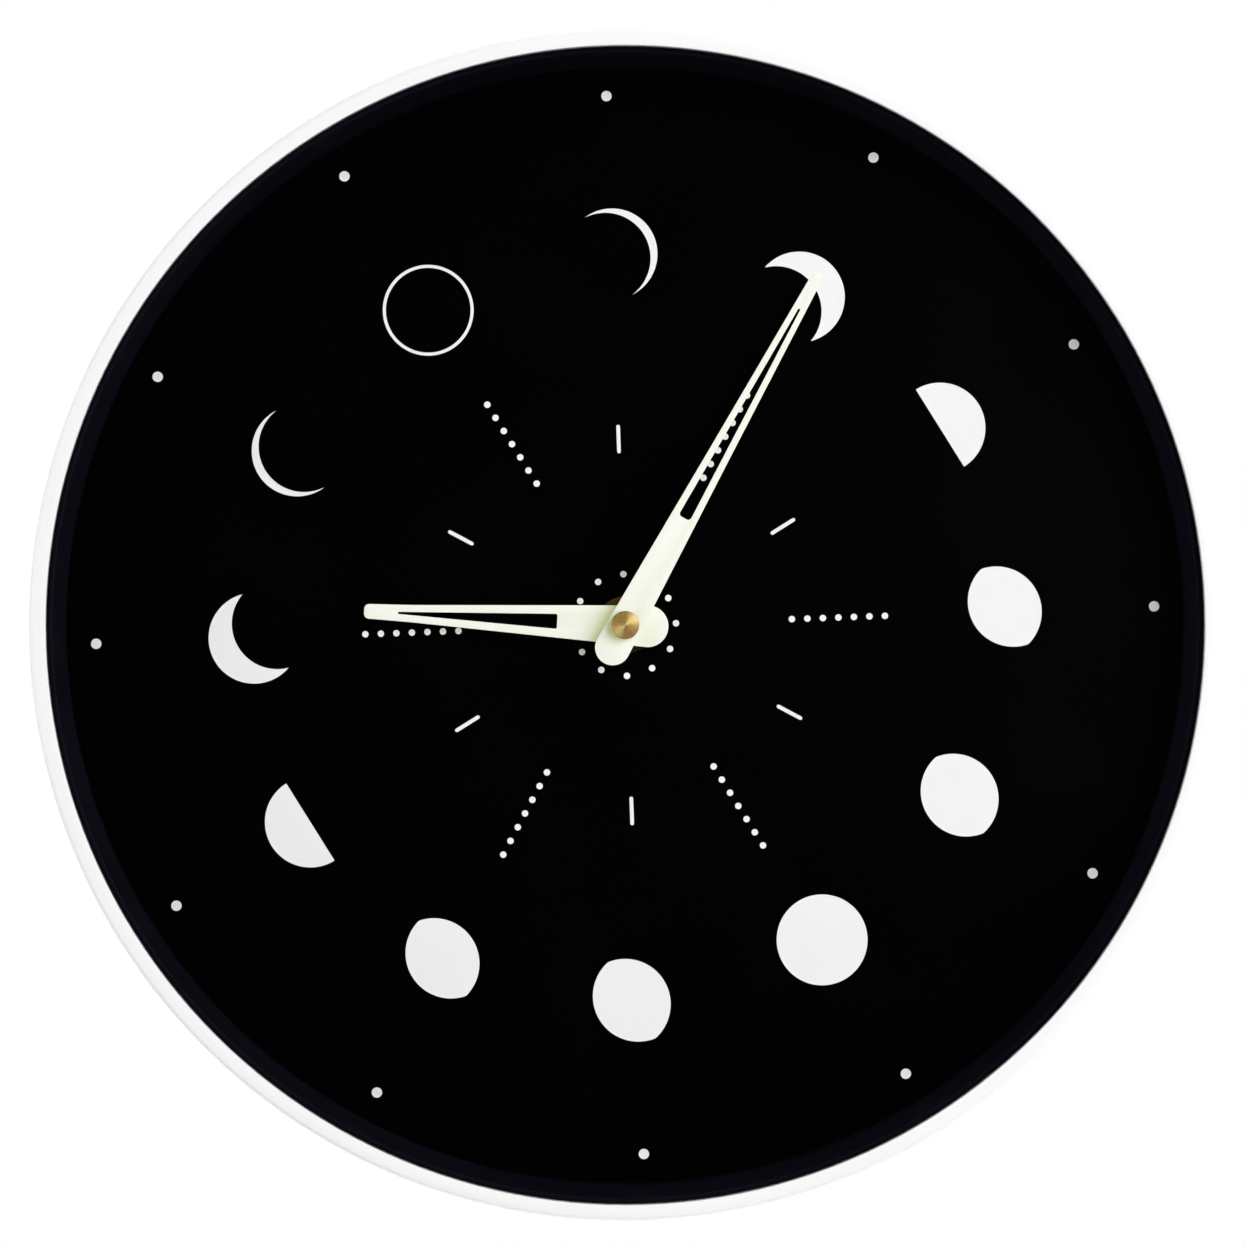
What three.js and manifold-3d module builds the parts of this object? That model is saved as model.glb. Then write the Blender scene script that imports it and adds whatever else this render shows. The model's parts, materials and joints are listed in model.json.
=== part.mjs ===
// A round wall clock whose dial carries moon phases in place of hour numerals, in millimetres.
// It is modelled with x to 3 o'clock, y to 12 o'clock and z out of the wall, from the hand axis at the wall.
// The exported group turns it so that +Z is up and the dial faces -Y, with the origin at the keyhole's nail.
import * as THREE from "three";
import { mergeVertices } from "three/addons/utils/BufferGeometryUtils.js";
import Module from "manifold-3d";

const wasm = await Module();
wasm.setup();

// Driving dimensions of the whole clock
const GAP = 0.3; // left between pieces that touch
const CASE_DIAMETER = 305;
const WALL_TO_MOVEMENT = 2.5;
const RING_STEPS = 48; // facets round the large rings
const ROUND_STEPS = 12; // facets round small turned pieces
const PIN_STEPS = 8; // facets round shafts, screws and their holes
const PIVOT_STEPS = 6; // facets round pivots, posts and their holes
const PAST = 1; // how far a cutting solid runs past the face that it cuts

// Bezel, lens and case body
const RIM_WIDTH = 4.4;
const LIP_THICKNESS = 2;
const RIM_ROUND = 1.4;
const SKIRT_THICKNESS = 1.6;
const BEZEL_DEPTH = 10.6;
const SNAP_HEIGHT = 0.5; // of the tabs that clip the bezel to the body
const SNAP_LENGTH = 1.6;
const SNAP_WIDTH = 14;
const LENS_THICKNESS = 2;
const LENS_TO_NUT = 3;
const BODY_WALL = 1.8;
const BACK_TAPER = 1.7;
const FLANGE_WIDTH = 5;
const FLANGE_THICKNESS = 2;
const LUG_COUNT = 4;
const LUG_WIDTH = 10;
const LUG_THICKNESS = 2.2;
const LUG_INSET = 7.8; // from the body's inner wall to the screw's centre

// Dial pan and dial
const PAN_WALL = 1.5;
const PAN_FLOOR = 2;
const PAN_DRAFT = 2;
const BOSS_RADIUS = 4;
const BOSS_LENGTH = 7.3;
const RIB_THICKNESS = 1.2;
const RIB_HEIGHT = 3;
const FRAME_HEIGHT = 2.5; // the square rib that locates the movement
const DIAL_THICKNESS = 1.2;
const PRINT_HEIGHT = 0.2;

// Printed marks
const MOON_RADIUS = 11.8;
const MOON_INSET = 48.3; // from the dial's edge to the moons' centres
const MOON_TILT = Math.PI / 6; // the lit side looks towards 2 o'clock
const NEW_MOON_LINE = 0.8;
const THIN_CRESCENT = 2.1;
const WIDE_CRESCENT = 7.1;
const WIDE_GIBBOUS = 4;
const NARROW_GIBBOUS = 5.2;
const HOUR_DOT_RADIUS = 1.35;
const HOUR_DOT_INSET = 7.3;
const DASH_RING = 48.3;
const DASH_LENGTH = 7.4;
const DASH_WIDTH = 0.96;

// Screws and hanger
const SCREW_RADIUS = 1.45;
const SCREW_HEAD_RADIUS = 2.8;
const SCREW_HEAD = 1.6;
const SCREW_CROWN_RADIUS = 2;
const SCREW_GRIP = 5; // length held in a boss
const HOOK_INSET = 23; // from the pan floor's edge to the nail's centre
const NAIL_SLOT_RADIUS = 2.2;
const NAIL_HEAD_RADIUS = 4.8;
const KEYHOLE_DROP = 10;
const HANGER_THICKNESS = 1.2;
const HANGER_TO_WALL = 3.5;
const HANGER_SCREW_SPAN = 40;
const HANGER_EDGE = 5.5; // material left round the keyhole and the screw holes

// Hub and hands
const WASHER_THICKNESS = 0.6;
const WASHER_RADIUS = 7.5;
const CUSHION_THICKNESS = 0.7;
const CUSHION_RADIUS = 9;
const NUT_ACROSS_FLATS = 11;
const NUT_SIDES = 6;
const NUT_THICKNESS = 2.2;
const BUSH_RADIUS = 3.9;
const BUSH_FLANGE_RADIUS = 6;
const BUSH_FLANGE = 0.9;
const BUSH_PROUD = 0.2;
const PIPE_RADIUS = 2.5;
const SHAFT_RADIUS = 1.55;
const SHAFT_TIP_RADIUS = 1.2;
const HAND_THICKNESS = 0.5;
const HAND_SPACING = 3.2;
const COLLET_RADIUS = 4.2;
const COLLET_HEIGHT = 0.3;
const CAP_NUT_RADIUS = 3.6;
const CAP_NUT_HEIGHT = 2.5;
const CAP_NUT_CROWN = 0.7;
const HAND_TAIL = 11.2;
const HOUR_HAND = {
  length: 67.4,
  root: 5.4, // half the width at the hub
  tip: 1.95, // radius of the round tip
  slotFrom: 17.6,
  slotTo: 58.6,
  slotRoot: 1.8,
  slotTip: 0.2,
};
const MINUTE_HAND = {
  length: 103.6,
  root: 4.6,
  tip: 1.65,
  slotFrom: 31.5,
  slotTo: 92.8,
  slotRoot: 1.46,
  slotTip: 0.2,
};
const HOUR_ANGLE = THREE.MathUtils.degToRad(275.1);
const MINUTE_ANGLE = THREE.MathUtils.degToRad(30.9);

// Movement case
const MOVEMENT_SIZE = 56;
const MOVEMENT_DEPTH = 16;
const MOVEMENT_CORNER = 3;
const MOVEMENT_WALL = 1.2;
const COVER_THICKNESS = 1.2;
const BRIDGE_THICKNESS = 0.8;
const BRIDGE_TO_WALL = 0.6;
const POST_RADIUS = 1.2;
const POST_INSET = 1.8; // from the cavity wall to a post's centre
const LOW_POST_Y = -3;
const PIVOT_RADIUS = 0.5;
const PIVOT_BOSS_RADIUS = 1.4;
const PIVOT_BOSS = 0.6;
const CLIP_WIDTH = 6;
const CLIP_LENGTH = 5.4;
const CLIP_THICKNESS = 1;
const CLIP_BARB = 0.8;
const LEFT_CLIP_Y = 18.5;
const RIGHT_CLIP_Y = 8;

// Battery, contacts and circuit
const CELL_RADIUS = 7.25;
const CELL_NUB_RADIUS = 2.75;
const CELL_NUB = 1.2;
const BAY_WALL = 0.85;
const BAY_FLOOR = 1.3;
const BAY_WEB = 1.15;
const TRAIN_TO_BAY = 1.02; // from the centre wheel's teeth to the bay's web
const CONTACT_THICKNESS = 0.4;
const CONTACT_HEIGHT = 9.5;
const CONTACT_BOW = 0.7;
const CONTACT_PLAY = 0.1; // between the bowed contact's crest and the cell
const CONTACT_LENGTH = 13.2;
const STRIP_WIDTH = 1.6;
const STRIP_UNDER_BOARD = 3.4;
const BOARD_LEFT = -2.5;
const BOARD_RIGHT = 21.5;
const BOARD_WIDTH = 7;
const BOARD_THICKNESS = 0.8;
const BOARD_POST_X = [9.5, 16.7];
const CRYSTAL_RADIUS = 1;
const CRYSTAL_LENGTH = 6.2;
const CHIP_RADIUS = 2.6;
const CHIP_HEIGHT = 1.1;
const CHIP_TOP_RADIUS = 2;
const CHIP_SHOULDER = 0.8;

// Motor
const MAGNET_RADIUS = 2.5;
const MAGNET_HEIGHT = 1.6;
const ROTOR_AIR_GAP = 0.4;
const STATOR_RADIUS = 4.8;
const STATOR_THICKNESS = 0.8;
const STATOR_ARM = 2.4;
const NOTCH_RADIUS = 0.6;
const CORE_THICKNESS = 0.8;
const COIL_RADIUS = 2.5;
const COIL_FLANGE = 0.6;
const COIL_STEP = 0.3; // how far the winding lies below its flanges
const COIL_LENGTH = 11.2;
const COIL_MIDDLE_X = -14.4;

// Gears
const TRAIN_MODULE = 0.4;
const MOTION_MODULE = 0.6;
const TRAIN_LEAVES = 6;
const INTERMEDIATE_TEETH = 30;
const SECONDS_TEETH = 36;
const THIRD_TEETH = 45;
const CENTRE_TEETH = 48;
const CANNON_TEETH = 10;
const MINUTE_TEETH = 30;
const MINUTE_LEAVES = 8;
const HOUR_TEETH = 32;
const SETTING_TEETH = 10;
const PRESSURE_ANGLE = THREE.MathUtils.degToRad(28);
const ADDENDUM = 0.7; // in modules
const DEDENDUM = 1;
const BACKLASH = 0.3; // in modules, taken off each tooth's thickness
const WHEEL_THICKNESS = 0.8;
const LEAF_OVERLAP = 0.2; // how far a pinion stands past the wheel that it drives, each side
const LAYER_GAP = 0.7; // between one wheel's front and the next wheel's back
const THIRD_DIRECTION = THREE.MathUtils.degToRad(150);
const SECONDS_DIRECTION = THREE.MathUtils.degToRad(75);
const INTERMEDIATE_DIRECTION = THREE.MathUtils.degToRad(180);
const ROTOR_DIRECTION = THREE.MathUtils.degToRad(225);
const MINUTE_DIRECTION = THREE.MathUtils.degToRad(35);
const SETTING_DIRECTION = THREE.MathUtils.degToRad(60);
const CLUTCH_RADIUS = 6;
const CLUTCH_ARM = 1.4;
const CLUTCH_THICKNESS = 0.3;
const CLUTCH_ARMS = 3;
const KNOB_RADIUS = 6.4;
const KNOB_THICKNESS = 1.5;
const KNOB_FLUTES = 18;
const KNOB_FLUTE_DEPTH = 0.4;
const STEM_RADIUS = 1.5;

// Heights above the wall, from the movement's back to the bezel's front
const MOVEMENT_BACK = WALL_TO_MOVEMENT;
const MOVEMENT_FRONT = MOVEMENT_BACK + MOVEMENT_DEPTH;
const CUSHION_BACK = MOVEMENT_FRONT + GAP;
const PAN_BACK = CUSHION_BACK + CUSHION_THICKNESS + GAP;
const PAN_FRONT = PAN_BACK + PAN_FLOOR;
const DIAL_BACK = PAN_FRONT + GAP;
const DIAL_FRONT = DIAL_BACK + DIAL_THICKNESS;
const WASHER_BACK = DIAL_FRONT + GAP;
const NUT_BACK = WASHER_BACK + WASHER_THICKNESS + GAP;
const NUT_FRONT = NUT_BACK + NUT_THICKNESS;
const BUSH_FRONT = NUT_FRONT + BUSH_PROUD;
const HOUR_HAND_BACK = BUSH_FRONT + GAP + COLLET_HEIGHT;
const HOUR_HAND_FRONT = HOUR_HAND_BACK + HAND_THICKNESS;
const MINUTE_HAND_BACK = HOUR_HAND_FRONT + HAND_SPACING;
const MINUTE_HAND_FRONT = MINUTE_HAND_BACK + HAND_THICKNESS;
const CAP_NUT_BACK = MINUTE_HAND_FRONT + GAP;
const CAP_NUT_FRONT = CAP_NUT_BACK + CAP_NUT_HEIGHT;
const LENS_BACK = CAP_NUT_FRONT + LENS_TO_NUT;
const LENS_FRONT = LENS_BACK + LENS_THICKNESS;
const LIP_BACK = LENS_FRONT + GAP;
const BEZEL_FRONT = LIP_BACK + LIP_THICKNESS;
const SKIRT_BACK = BEZEL_FRONT - BEZEL_DEPTH;

// Radii of the nested rings, from the outside in
const CASE_RADIUS = CASE_DIAMETER / 2;
const LIP_INNER = CASE_RADIUS - RIM_WIDTH;
const SKIRT_INNER = CASE_RADIUS - SKIRT_THICKNESS;
const BODY_OUTER = SKIRT_INNER - GAP;
const BODY_INNER = BODY_OUTER - BODY_WALL;
const BACK_OUTER = CASE_RADIUS - BACK_TAPER - GAP;
const PAN_OUTER = BODY_INNER - GAP;
const PAN_INNER = PAN_OUTER - PAN_WALL;
const FLOOR_RADIUS = PAN_INNER - PAN_DRAFT;
const DIAL_RADIUS = FLOOR_RADIUS - GAP;
const LENS_RADIUS = SKIRT_INNER - GAP;
const HOUR_DOT_RING = DIAL_RADIUS - HOUR_DOT_INSET;
const MOON_RING = DIAL_RADIUS - MOON_INSET;
const HOOK_HEIGHT = FLOOR_RADIUS - HOOK_INSET; // the nail's centre above the hand axis
const BUSH_HOLE = BUSH_RADIUS + GAP;
const PIPE_BORE = SHAFT_RADIUS + GAP;
const BUSH_BORE = PIPE_RADIUS + GAP;

// The movement below the hand axis, from the centre wheel down to the case's lower edge
const CENTRE_TIP = TRAIN_MODULE * (CENTRE_TEETH / 2 + ADDENDUM);
const CAVITY_LOW = -CENTRE_TIP - TRAIN_TO_BAY;
const BAY_TOP = CAVITY_LOW - BAY_WEB;
const BAY_HALF_WIDTH = CELL_RADIUS + GAP;
const BAY_MIDDLE = BAY_TOP - BAY_HALF_WIDTH;
const MOVEMENT_LOW = BAY_MIDDLE - BAY_HALF_WIDTH - BAY_WALL;

const AXIS = [0, 0]; // the hand axis, as a place on the dial

// Joins, cuts and basic solids

// The closed solid of a geometry, with its faces turned outwards.
function solidOf(geometry) {
  const bare = geometry.index ? geometry.toNonIndexed() : geometry.clone();
  bare.deleteAttribute("normal");
  bare.deleteAttribute("uv");
  const merged = mergeVertices(bare, 1e-4);
  const vertProperties = new Float32Array(merged.attributes.position.array);
  const triVerts = new Uint32Array(merged.index.array);
  const solid = new wasm.Manifold(new wasm.Mesh({ numProp: 3, vertProperties, triVerts }));
  if (solid.volume() > 0) {
    return solid;
  }
  triVerts.reverse();
  return new wasm.Manifold(new wasm.Mesh({ numProp: 3, vertProperties, triVerts }));
}

// The geometry of a solid.
function geometryOf(solid) {
  const mesh = solid.getMesh();
  const geometry = new THREE.BufferGeometry();
  geometry.setAttribute("position", new THREE.BufferAttribute(new Float32Array(mesh.vertProperties), 3));
  geometry.setIndex(new THREE.BufferAttribute(new Uint32Array(mesh.triVerts), 1));
  return geometry;
}

function join(...geometries) {
  return geometryOf(geometries.map(solidOf).reduce((whole, next) => whole.add(next)));
}

function cut(geometry, ...tools) {
  return geometryOf(tools.map(solidOf).reduce((whole, tool) => whole.subtract(tool), solidOf(geometry)));
}

// A turned solid: the profile lists [radius, z] and closes on itself or on the axis.
function turned(profile, steps = RING_STEPS) {
  const points = profile.map(([radius, z]) => new THREE.Vector2(radius, z));
  if (profile[0][0] > 0) {
    points.push(points[0].clone());
  }
  return geometryOf(solidOf(new THREE.LatheGeometry(points, steps).rotateX(Math.PI / 2)));
}

function ring(inner, outer, back, front, steps = RING_STEPS) {
  return turned([[inner, back], [outer, back], [outer, front], [inner, front]], steps);
}

function disc(radius, back, front, centre = AXIS, steps = ROUND_STEPS) {
  const profile = [[0, back], [radius, back], [radius, front], [0, front]];
  return turned(profile, steps).translate(centre[0], centre[1], 0);
}

function block(left, right, low, high, back, front) {
  const geometry = new THREE.BoxGeometry(right - left, high - low, front - back);
  return geometry.translate((left + right) / 2, (low + high) / 2, (back + front) / 2);
}

// A flat outline raised from one height to another.
function raised(shape, back, front, curveSegments = PIN_STEPS / 2) {
  const options = { depth: front - back, bevelEnabled: false, curveSegments };
  return new THREE.ExtrudeGeometry(shape, options).translate(0, 0, back);
}

// A rectangle with rounded corners, as an outline.
function roundedOutline(left, right, low, high, corner) {
  const shape = new THREE.Shape();
  shape.moveTo(left + corner, low);
  shape.absarc(right - corner, low + corner, corner, -Math.PI / 2, 0);
  shape.absarc(right - corner, high - corner, corner, 0, Math.PI / 2);
  shape.absarc(left + corner, high - corner, corner, Math.PI / 2, Math.PI);
  shape.absarc(left + corner, low + corner, corner, Math.PI, 1.5 * Math.PI);
  return shape;
}

// A flat bar with round ends between two points.
function bar(from, to, width, back, front) {
  const along = new THREE.Vector2(to[0] - from[0], to[1] - from[1]);
  const half = width / 2;
  const shape = new THREE.Shape();
  shape.absarc(0, 0, half, Math.PI / 2, 1.5 * Math.PI);
  shape.absarc(along.length(), 0, half, -Math.PI / 2, Math.PI / 2);
  const rounded = raised(shape, back, front, PIN_STEPS / 4);
  return rounded.rotateZ(along.angle()).translate(from[0], from[1], 0);
}

function polar(from, distance, direction) {
  return [from[0] + distance * Math.cos(direction), from[1] + distance * Math.sin(direction)];
}

// The direction of a place on the dial, given in hours from 12 o'clock.
function hourDirection(hour) {
  return Math.PI / 2 - (hour * Math.PI) / 6;
}

// Case, bezel and lens

const SNAP_BACK = SKIRT_BACK + SNAP_LENGTH / 2;
const SNAP_FRONT = SNAP_BACK + SNAP_LENGTH;
const LUG_STEP = (2 * Math.PI) / LUG_COUNT;
const snapDirections = Array.from({ length: LUG_COUNT }, (_, i) => i * LUG_STEP);

function bezelRing() {
  const shoulder = RIM_ROUND * (1 - Math.SQRT1_2);
  const rim = turned([
    [LIP_INNER, LIP_BACK],
    [SKIRT_INNER, LIP_BACK],
    [SKIRT_INNER, SKIRT_BACK],
    [CASE_RADIUS, SKIRT_BACK],
    [CASE_RADIUS, BEZEL_FRONT - RIM_ROUND],
    [CASE_RADIUS - shoulder, BEZEL_FRONT - shoulder],
    [CASE_RADIUS - RIM_ROUND, BEZEL_FRONT],
    [LIP_INNER + LIP_THICKNESS / 4, BEZEL_FRONT],
    [LIP_INNER, BEZEL_FRONT - LIP_THICKNESS / 4],
  ]);
  const half = SNAP_WIDTH / 2;
  const tabs = snapDirections.map((direction) => {
    const crest = SKIRT_INNER - GAP - SNAP_HEIGHT;
    const tab = block(crest, SKIRT_INNER + SNAP_HEIGHT, -half, half, SNAP_BACK, SNAP_FRONT);
    return tab.rotateZ(direction);
  });
  return join(rim, ...tabs);
}

function lens() {
  return disc(LENS_RADIUS, LENS_BACK, LENS_FRONT, AXIS, RING_STEPS);
}

const BODY_FRONT = LENS_BACK - GAP;
const LUG_FRONT = PAN_BACK - BOSS_LENGTH - GAP;
const LUG_BACK = LUG_FRONT - LUG_THICKNESS;
const LUG_CIRCLE = BODY_INNER - LUG_INSET;
const lugPlaces = Array.from({ length: LUG_COUNT }, (_, i) => {
  return polar(AXIS, LUG_CIRCLE, Math.PI / 2 + (i + 0.5) * LUG_STEP);
});

// One inward lug with its triangular gusset, at the place of its screw.
function bodyLug(place) {
  const direction = Math.atan2(place[1], place[0]);
  const root = BODY_INNER + BODY_WALL / 4;
  const half = LUG_WIDTH / 2;
  const outline = new THREE.Shape();
  outline.absarc(LUG_CIRCLE, 0, half, Math.PI / 2, 1.5 * Math.PI);
  outline.lineTo(root, -half);
  outline.lineTo(root, half);
  const plate = raised(outline, LUG_BACK, LUG_FRONT);
  const gusset = new THREE.Shape();
  gusset.moveTo(root, LUG_FRONT - LUG_THICKNESS / 2);
  gusset.lineTo(BODY_INNER - LUG_INSET / 2, LUG_FRONT - LUG_THICKNESS / 2);
  gusset.lineTo(root, FLANGE_THICKNESS);
  const web = raised(gusset, -RIB_THICKNESS / 2, RIB_THICKNESS / 2).rotateX(Math.PI / 2);
  return join(plate, web).rotateZ(direction);
}

function caseBody() {
  const wall = turned([
    [BACK_OUTER - FLANGE_WIDTH, 0],
    [BACK_OUTER, 0],
    [CASE_RADIUS - GAP, SKIRT_BACK - GAP],
    [BODY_OUTER, SKIRT_BACK - GAP],
    [BODY_OUTER, BODY_FRONT],
    [BODY_INNER, BODY_FRONT],
    [BODY_INNER, FLANGE_THICKNESS],
    [BACK_OUTER - FLANGE_WIDTH, FLANGE_THICKNESS],
  ]);
  const half = SNAP_WIDTH / 2 + GAP;
  const pocket = SKIRT_INNER - SNAP_HEIGHT - 2 * GAP;
  const pockets = snapDirections.map((direction) => {
    return block(pocket, CASE_RADIUS, -half, half, SNAP_BACK - GAP, SNAP_FRONT + GAP).rotateZ(direction);
  });
  const holes = lugPlaces.map((place) => {
    return disc(SCREW_RADIUS + GAP, LUG_BACK - PAST, LUG_FRONT + PAST, place, PIN_STEPS);
  });
  return cut(join(wall, ...lugPlaces.map(bodyLug)), ...pockets, ...holes);
}

// A pan-head screw driven forwards from a seat at the given height.
function screw(place, seat, grip) {
  const head = seat - GAP;
  const end = seat + grip;
  const profile = [
    [0, head - SCREW_HEAD],
    [SCREW_CROWN_RADIUS, head - SCREW_HEAD],
    [SCREW_HEAD_RADIUS, head - SCREW_HEAD / 2],
    [SCREW_HEAD_RADIUS, head],
    [SCREW_RADIUS, head],
    [SCREW_RADIUS, end - SCREW_RADIUS],
    [0, end],
  ];
  return turned(profile, PIN_STEPS).translate(place[0], place[1], 0);
}

// Dial pan, dial and hanger

const hangerPlaces = [-1, 1].map((side) => [(side * HANGER_SCREW_SPAN) / 2, HOOK_HEIGHT - KEYHOLE_DROP / 2]);
const HANGER_FRONT = HANGER_TO_WALL + HANGER_THICKNESS;
const FRAME_INNER = MOVEMENT_SIZE / 2 + GAP;
const FRAME_LOW = MOVEMENT_LOW - GAP;

// A rear boss of the pan with its pilot hole, from the floor back to the given height.
function panBoss(place, back) {
  return disc(BOSS_RADIUS, back, PAN_BACK + PAN_FLOOR / 2, place);
}

function pilotHole(place, back, grip) {
  return disc(SCREW_RADIUS + GAP, back - PAST, back + grip + GAP, place, PIN_STEPS);
}

function dialPan() {
  const shell = turned([
    [BUSH_HOLE, PAN_BACK],
    [FLOOR_RADIUS + PAN_WALL - PAN_FLOOR / 2, PAN_BACK],
    [FLOOR_RADIUS + PAN_WALL, PAN_BACK + PAN_FLOOR / 2],
    [PAN_OUTER, BODY_FRONT],
    [PAN_INNER, BODY_FRONT],
    [FLOOR_RADIUS, PAN_FRONT],
    [BUSH_HOLE, PAN_FRONT],
  ]);
  const lugSeat = LUG_FRONT + GAP;
  const hangerSeat = HANGER_FRONT + GAP;
  const ribStart = FRAME_INNER * Math.SQRT2;
  const inFloor = PAN_BACK + PAN_FLOOR / 2;
  const ribs = lugPlaces.map((_, i) => {
    const half = RIB_THICKNESS / 2;
    const rib = block(ribStart, FLOOR_RADIUS, -half, half, PAN_BACK - RIB_HEIGHT, inFloor);
    return rib.rotateZ(Math.PI / 2 + i * LUG_STEP);
  });
  const frameOuter = FRAME_INNER + RIB_THICKNESS;
  const frame = cut(
    block(-frameOuter, frameOuter, FRAME_LOW - RIB_THICKNESS, frameOuter, PAN_BACK - FRAME_HEIGHT, inFloor),
    block(-FRAME_INNER, FRAME_INNER, FRAME_LOW, FRAME_INNER, PAN_BACK - FRAME_HEIGHT - PAST, PAN_FRONT),
  );
  const bosses = lugPlaces.map((place) => panBoss(place, lugSeat));
  const hangerBosses = hangerPlaces.map((place) => panBoss(place, hangerSeat));
  const pilots = lugPlaces.map((place) => pilotHole(place, lugSeat, SCREW_GRIP));
  const hangerPilots = hangerPlaces.map((place) => pilotHole(place, hangerSeat, SCREW_GRIP));
  return cut(join(shell, frame, ...ribs, ...bosses, ...hangerBosses), ...pilots, ...hangerPilots);
}

// The outline of one moon with its lit side towards +x; a full or new moon needs no offset.
function crescentOutline(offset) {
  const outer = Math.acos(-offset / 2 / MOON_RADIUS);
  const inner = Math.acos(offset / 2 / MOON_RADIUS);
  const shape = new THREE.Shape();
  shape.absarc(0, 0, MOON_RADIUS, -outer, outer);
  shape.absarc(-offset, 0, MOON_RADIUS, inner, -inner, true);
  return shape;
}

function gibbousOutline(offset) {
  const edge = Math.acos(offset / 2 / MOON_RADIUS);
  const shape = new THREE.Shape();
  shape.absarc(0, 0, MOON_RADIUS, -edge, edge);
  shape.absarc(offset, 0, MOON_RADIUS, Math.PI - edge, Math.PI + edge);
  return shape;
}

function halfOutline() {
  return new THREE.Shape().absarc(0, 0, MOON_RADIUS, -Math.PI / 2, Math.PI / 2);
}

function fullOutline() {
  return new THREE.Shape().absarc(0, 0, MOON_RADIUS, 0, 2 * Math.PI);
}

function newOutline() {
  const shape = fullOutline();
  shape.holes.push(new THREE.Path().absarc(0, 0, MOON_RADIUS - NEW_MOON_LINE, 0, 2 * Math.PI));
  return shape;
}

const waxing = [
  crescentOutline(THIN_CRESCENT),
  crescentOutline(WIDE_CRESCENT),
  halfOutline(),
  gibbousOutline(NARROW_GIBBOUS),
  gibbousOutline(WIDE_GIBBOUS),
];

// The twelve phases clockwise from 12 o'clock: five waxing, full, five waning, new.
function moons(back, front) {
  const phases = [...waxing, fullOutline(), ...[...waxing].reverse(), newOutline()];
  return phases.map((shape, hour) => {
    const wanes = hour > waxing.length;
    const place = polar(AXIS, MOON_RING, hourDirection(hour));
    const moon = raised(shape, back, front).rotateZ(MOON_TILT + (wanes ? Math.PI : 0));
    return moon.translate(place[0], place[1], 0);
  });
}

function dial() {
  const sheet = ring(BUSH_HOLE, DIAL_RADIUS, DIAL_BACK, DIAL_FRONT);
  const root = DIAL_FRONT - DIAL_THICKNESS / 2;
  const face = DIAL_FRONT + PRINT_HEIGHT;
  const hours = Array.from({ length: 12 }, (_, hour) => hour);
  const dots = hours.map((hour) => {
    return disc(HOUR_DOT_RADIUS, root, face, polar(AXIS, HOUR_DOT_RING, hourDirection(hour)), PIVOT_STEPS);
  });
  const dashes = hours.filter((hour) => hour % 2 === 0).map((hour) => {
    const inner = DASH_RING - DASH_LENGTH / 2;
    const dash = block(inner, inner + DASH_LENGTH, -DASH_WIDTH / 2, DASH_WIDTH / 2, root, face);
    return dash.rotateZ(hourDirection(hour));
  });
  return join(sheet, ...moons(root, face), ...dots, ...dashes);
}

// The pressed strap with a keyhole: the clock drops until the nail sits at the top of the slot.
function wallHanger() {
  const half = HANGER_SCREW_SPAN / 2 + HANGER_EDGE;
  const low = HOOK_HEIGHT - KEYHOLE_DROP - NAIL_HEAD_RADIUS - HANGER_EDGE;
  const high = HOOK_HEIGHT + NAIL_SLOT_RADIUS + HANGER_EDGE;
  const outline = roundedOutline(-half, half, low, high, HANGER_EDGE);
  const lift = Math.acos(NAIL_SLOT_RADIUS / NAIL_HEAD_RADIUS);
  const keyhole = new THREE.Path();
  keyhole.absarc(0, HOOK_HEIGHT, NAIL_SLOT_RADIUS, 0, Math.PI);
  keyhole.absarc(0, HOOK_HEIGHT - KEYHOLE_DROP, NAIL_HEAD_RADIUS, Math.PI - lift, 2 * Math.PI + lift);
  outline.holes.push(keyhole);
  for (const [x, y] of hangerPlaces) {
    outline.holes.push(new THREE.Path().absarc(x, y, SCREW_RADIUS + GAP, 0, 2 * Math.PI));
  }
  return raised(outline, HANGER_TO_WALL, HANGER_FRONT);
}

// Hub and hands

function washer(radius, back, thickness) {
  return ring(BUSH_HOLE, radius, back, back + thickness, ROUND_STEPS);
}

function hexNut() {
  const across = NUT_ACROSS_FLATS / Math.sqrt(3);
  const hole = disc(BUSH_HOLE, NUT_BACK - PAST, NUT_FRONT + PAST);
  return cut(disc(across, NUT_BACK, NUT_FRONT, AXIS, NUT_SIDES), hole);
}

const HOUSING_FRONT_WALL = MOVEMENT_FRONT - MOVEMENT_WALL;
const FLANGE_FRONT = HOUSING_FRONT_WALL - GAP;

function threadedBush() {
  return turned(
    [
      [BUSH_BORE, FLANGE_FRONT - BUSH_FLANGE],
      [BUSH_FLANGE_RADIUS, FLANGE_FRONT - BUSH_FLANGE],
      [BUSH_FLANGE_RADIUS, FLANGE_FRONT],
      [BUSH_RADIUS, FLANGE_FRONT],
      [BUSH_RADIUS, BUSH_FRONT],
      [BUSH_BORE, BUSH_FRONT],
    ],
    ROUND_STEPS,
  );
}

// A tapered hand with a round tail, a round tip, a tapered slot and a centre hole, pointing to 12 o'clock.
function handOutline(hand, hole) {
  const shape = new THREE.Shape();
  shape.absarc(0, hand.root - HAND_TAIL, hand.root, Math.PI, 2 * Math.PI);
  shape.lineTo(hand.root, 0);
  shape.absarc(0, hand.length - hand.tip, hand.tip, 0, Math.PI);
  shape.lineTo(-hand.root, 0);
  const slot = new THREE.Path();
  slot.moveTo(-hand.slotRoot, hand.slotFrom);
  slot.lineTo(hand.slotRoot, hand.slotFrom);
  slot.lineTo(hand.slotTip, hand.slotTo);
  slot.lineTo(-hand.slotTip, hand.slotTo);
  shape.holes.push(slot, new THREE.Path().absarc(0, 0, hole, 0, 2 * Math.PI));
  return shape;
}

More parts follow.
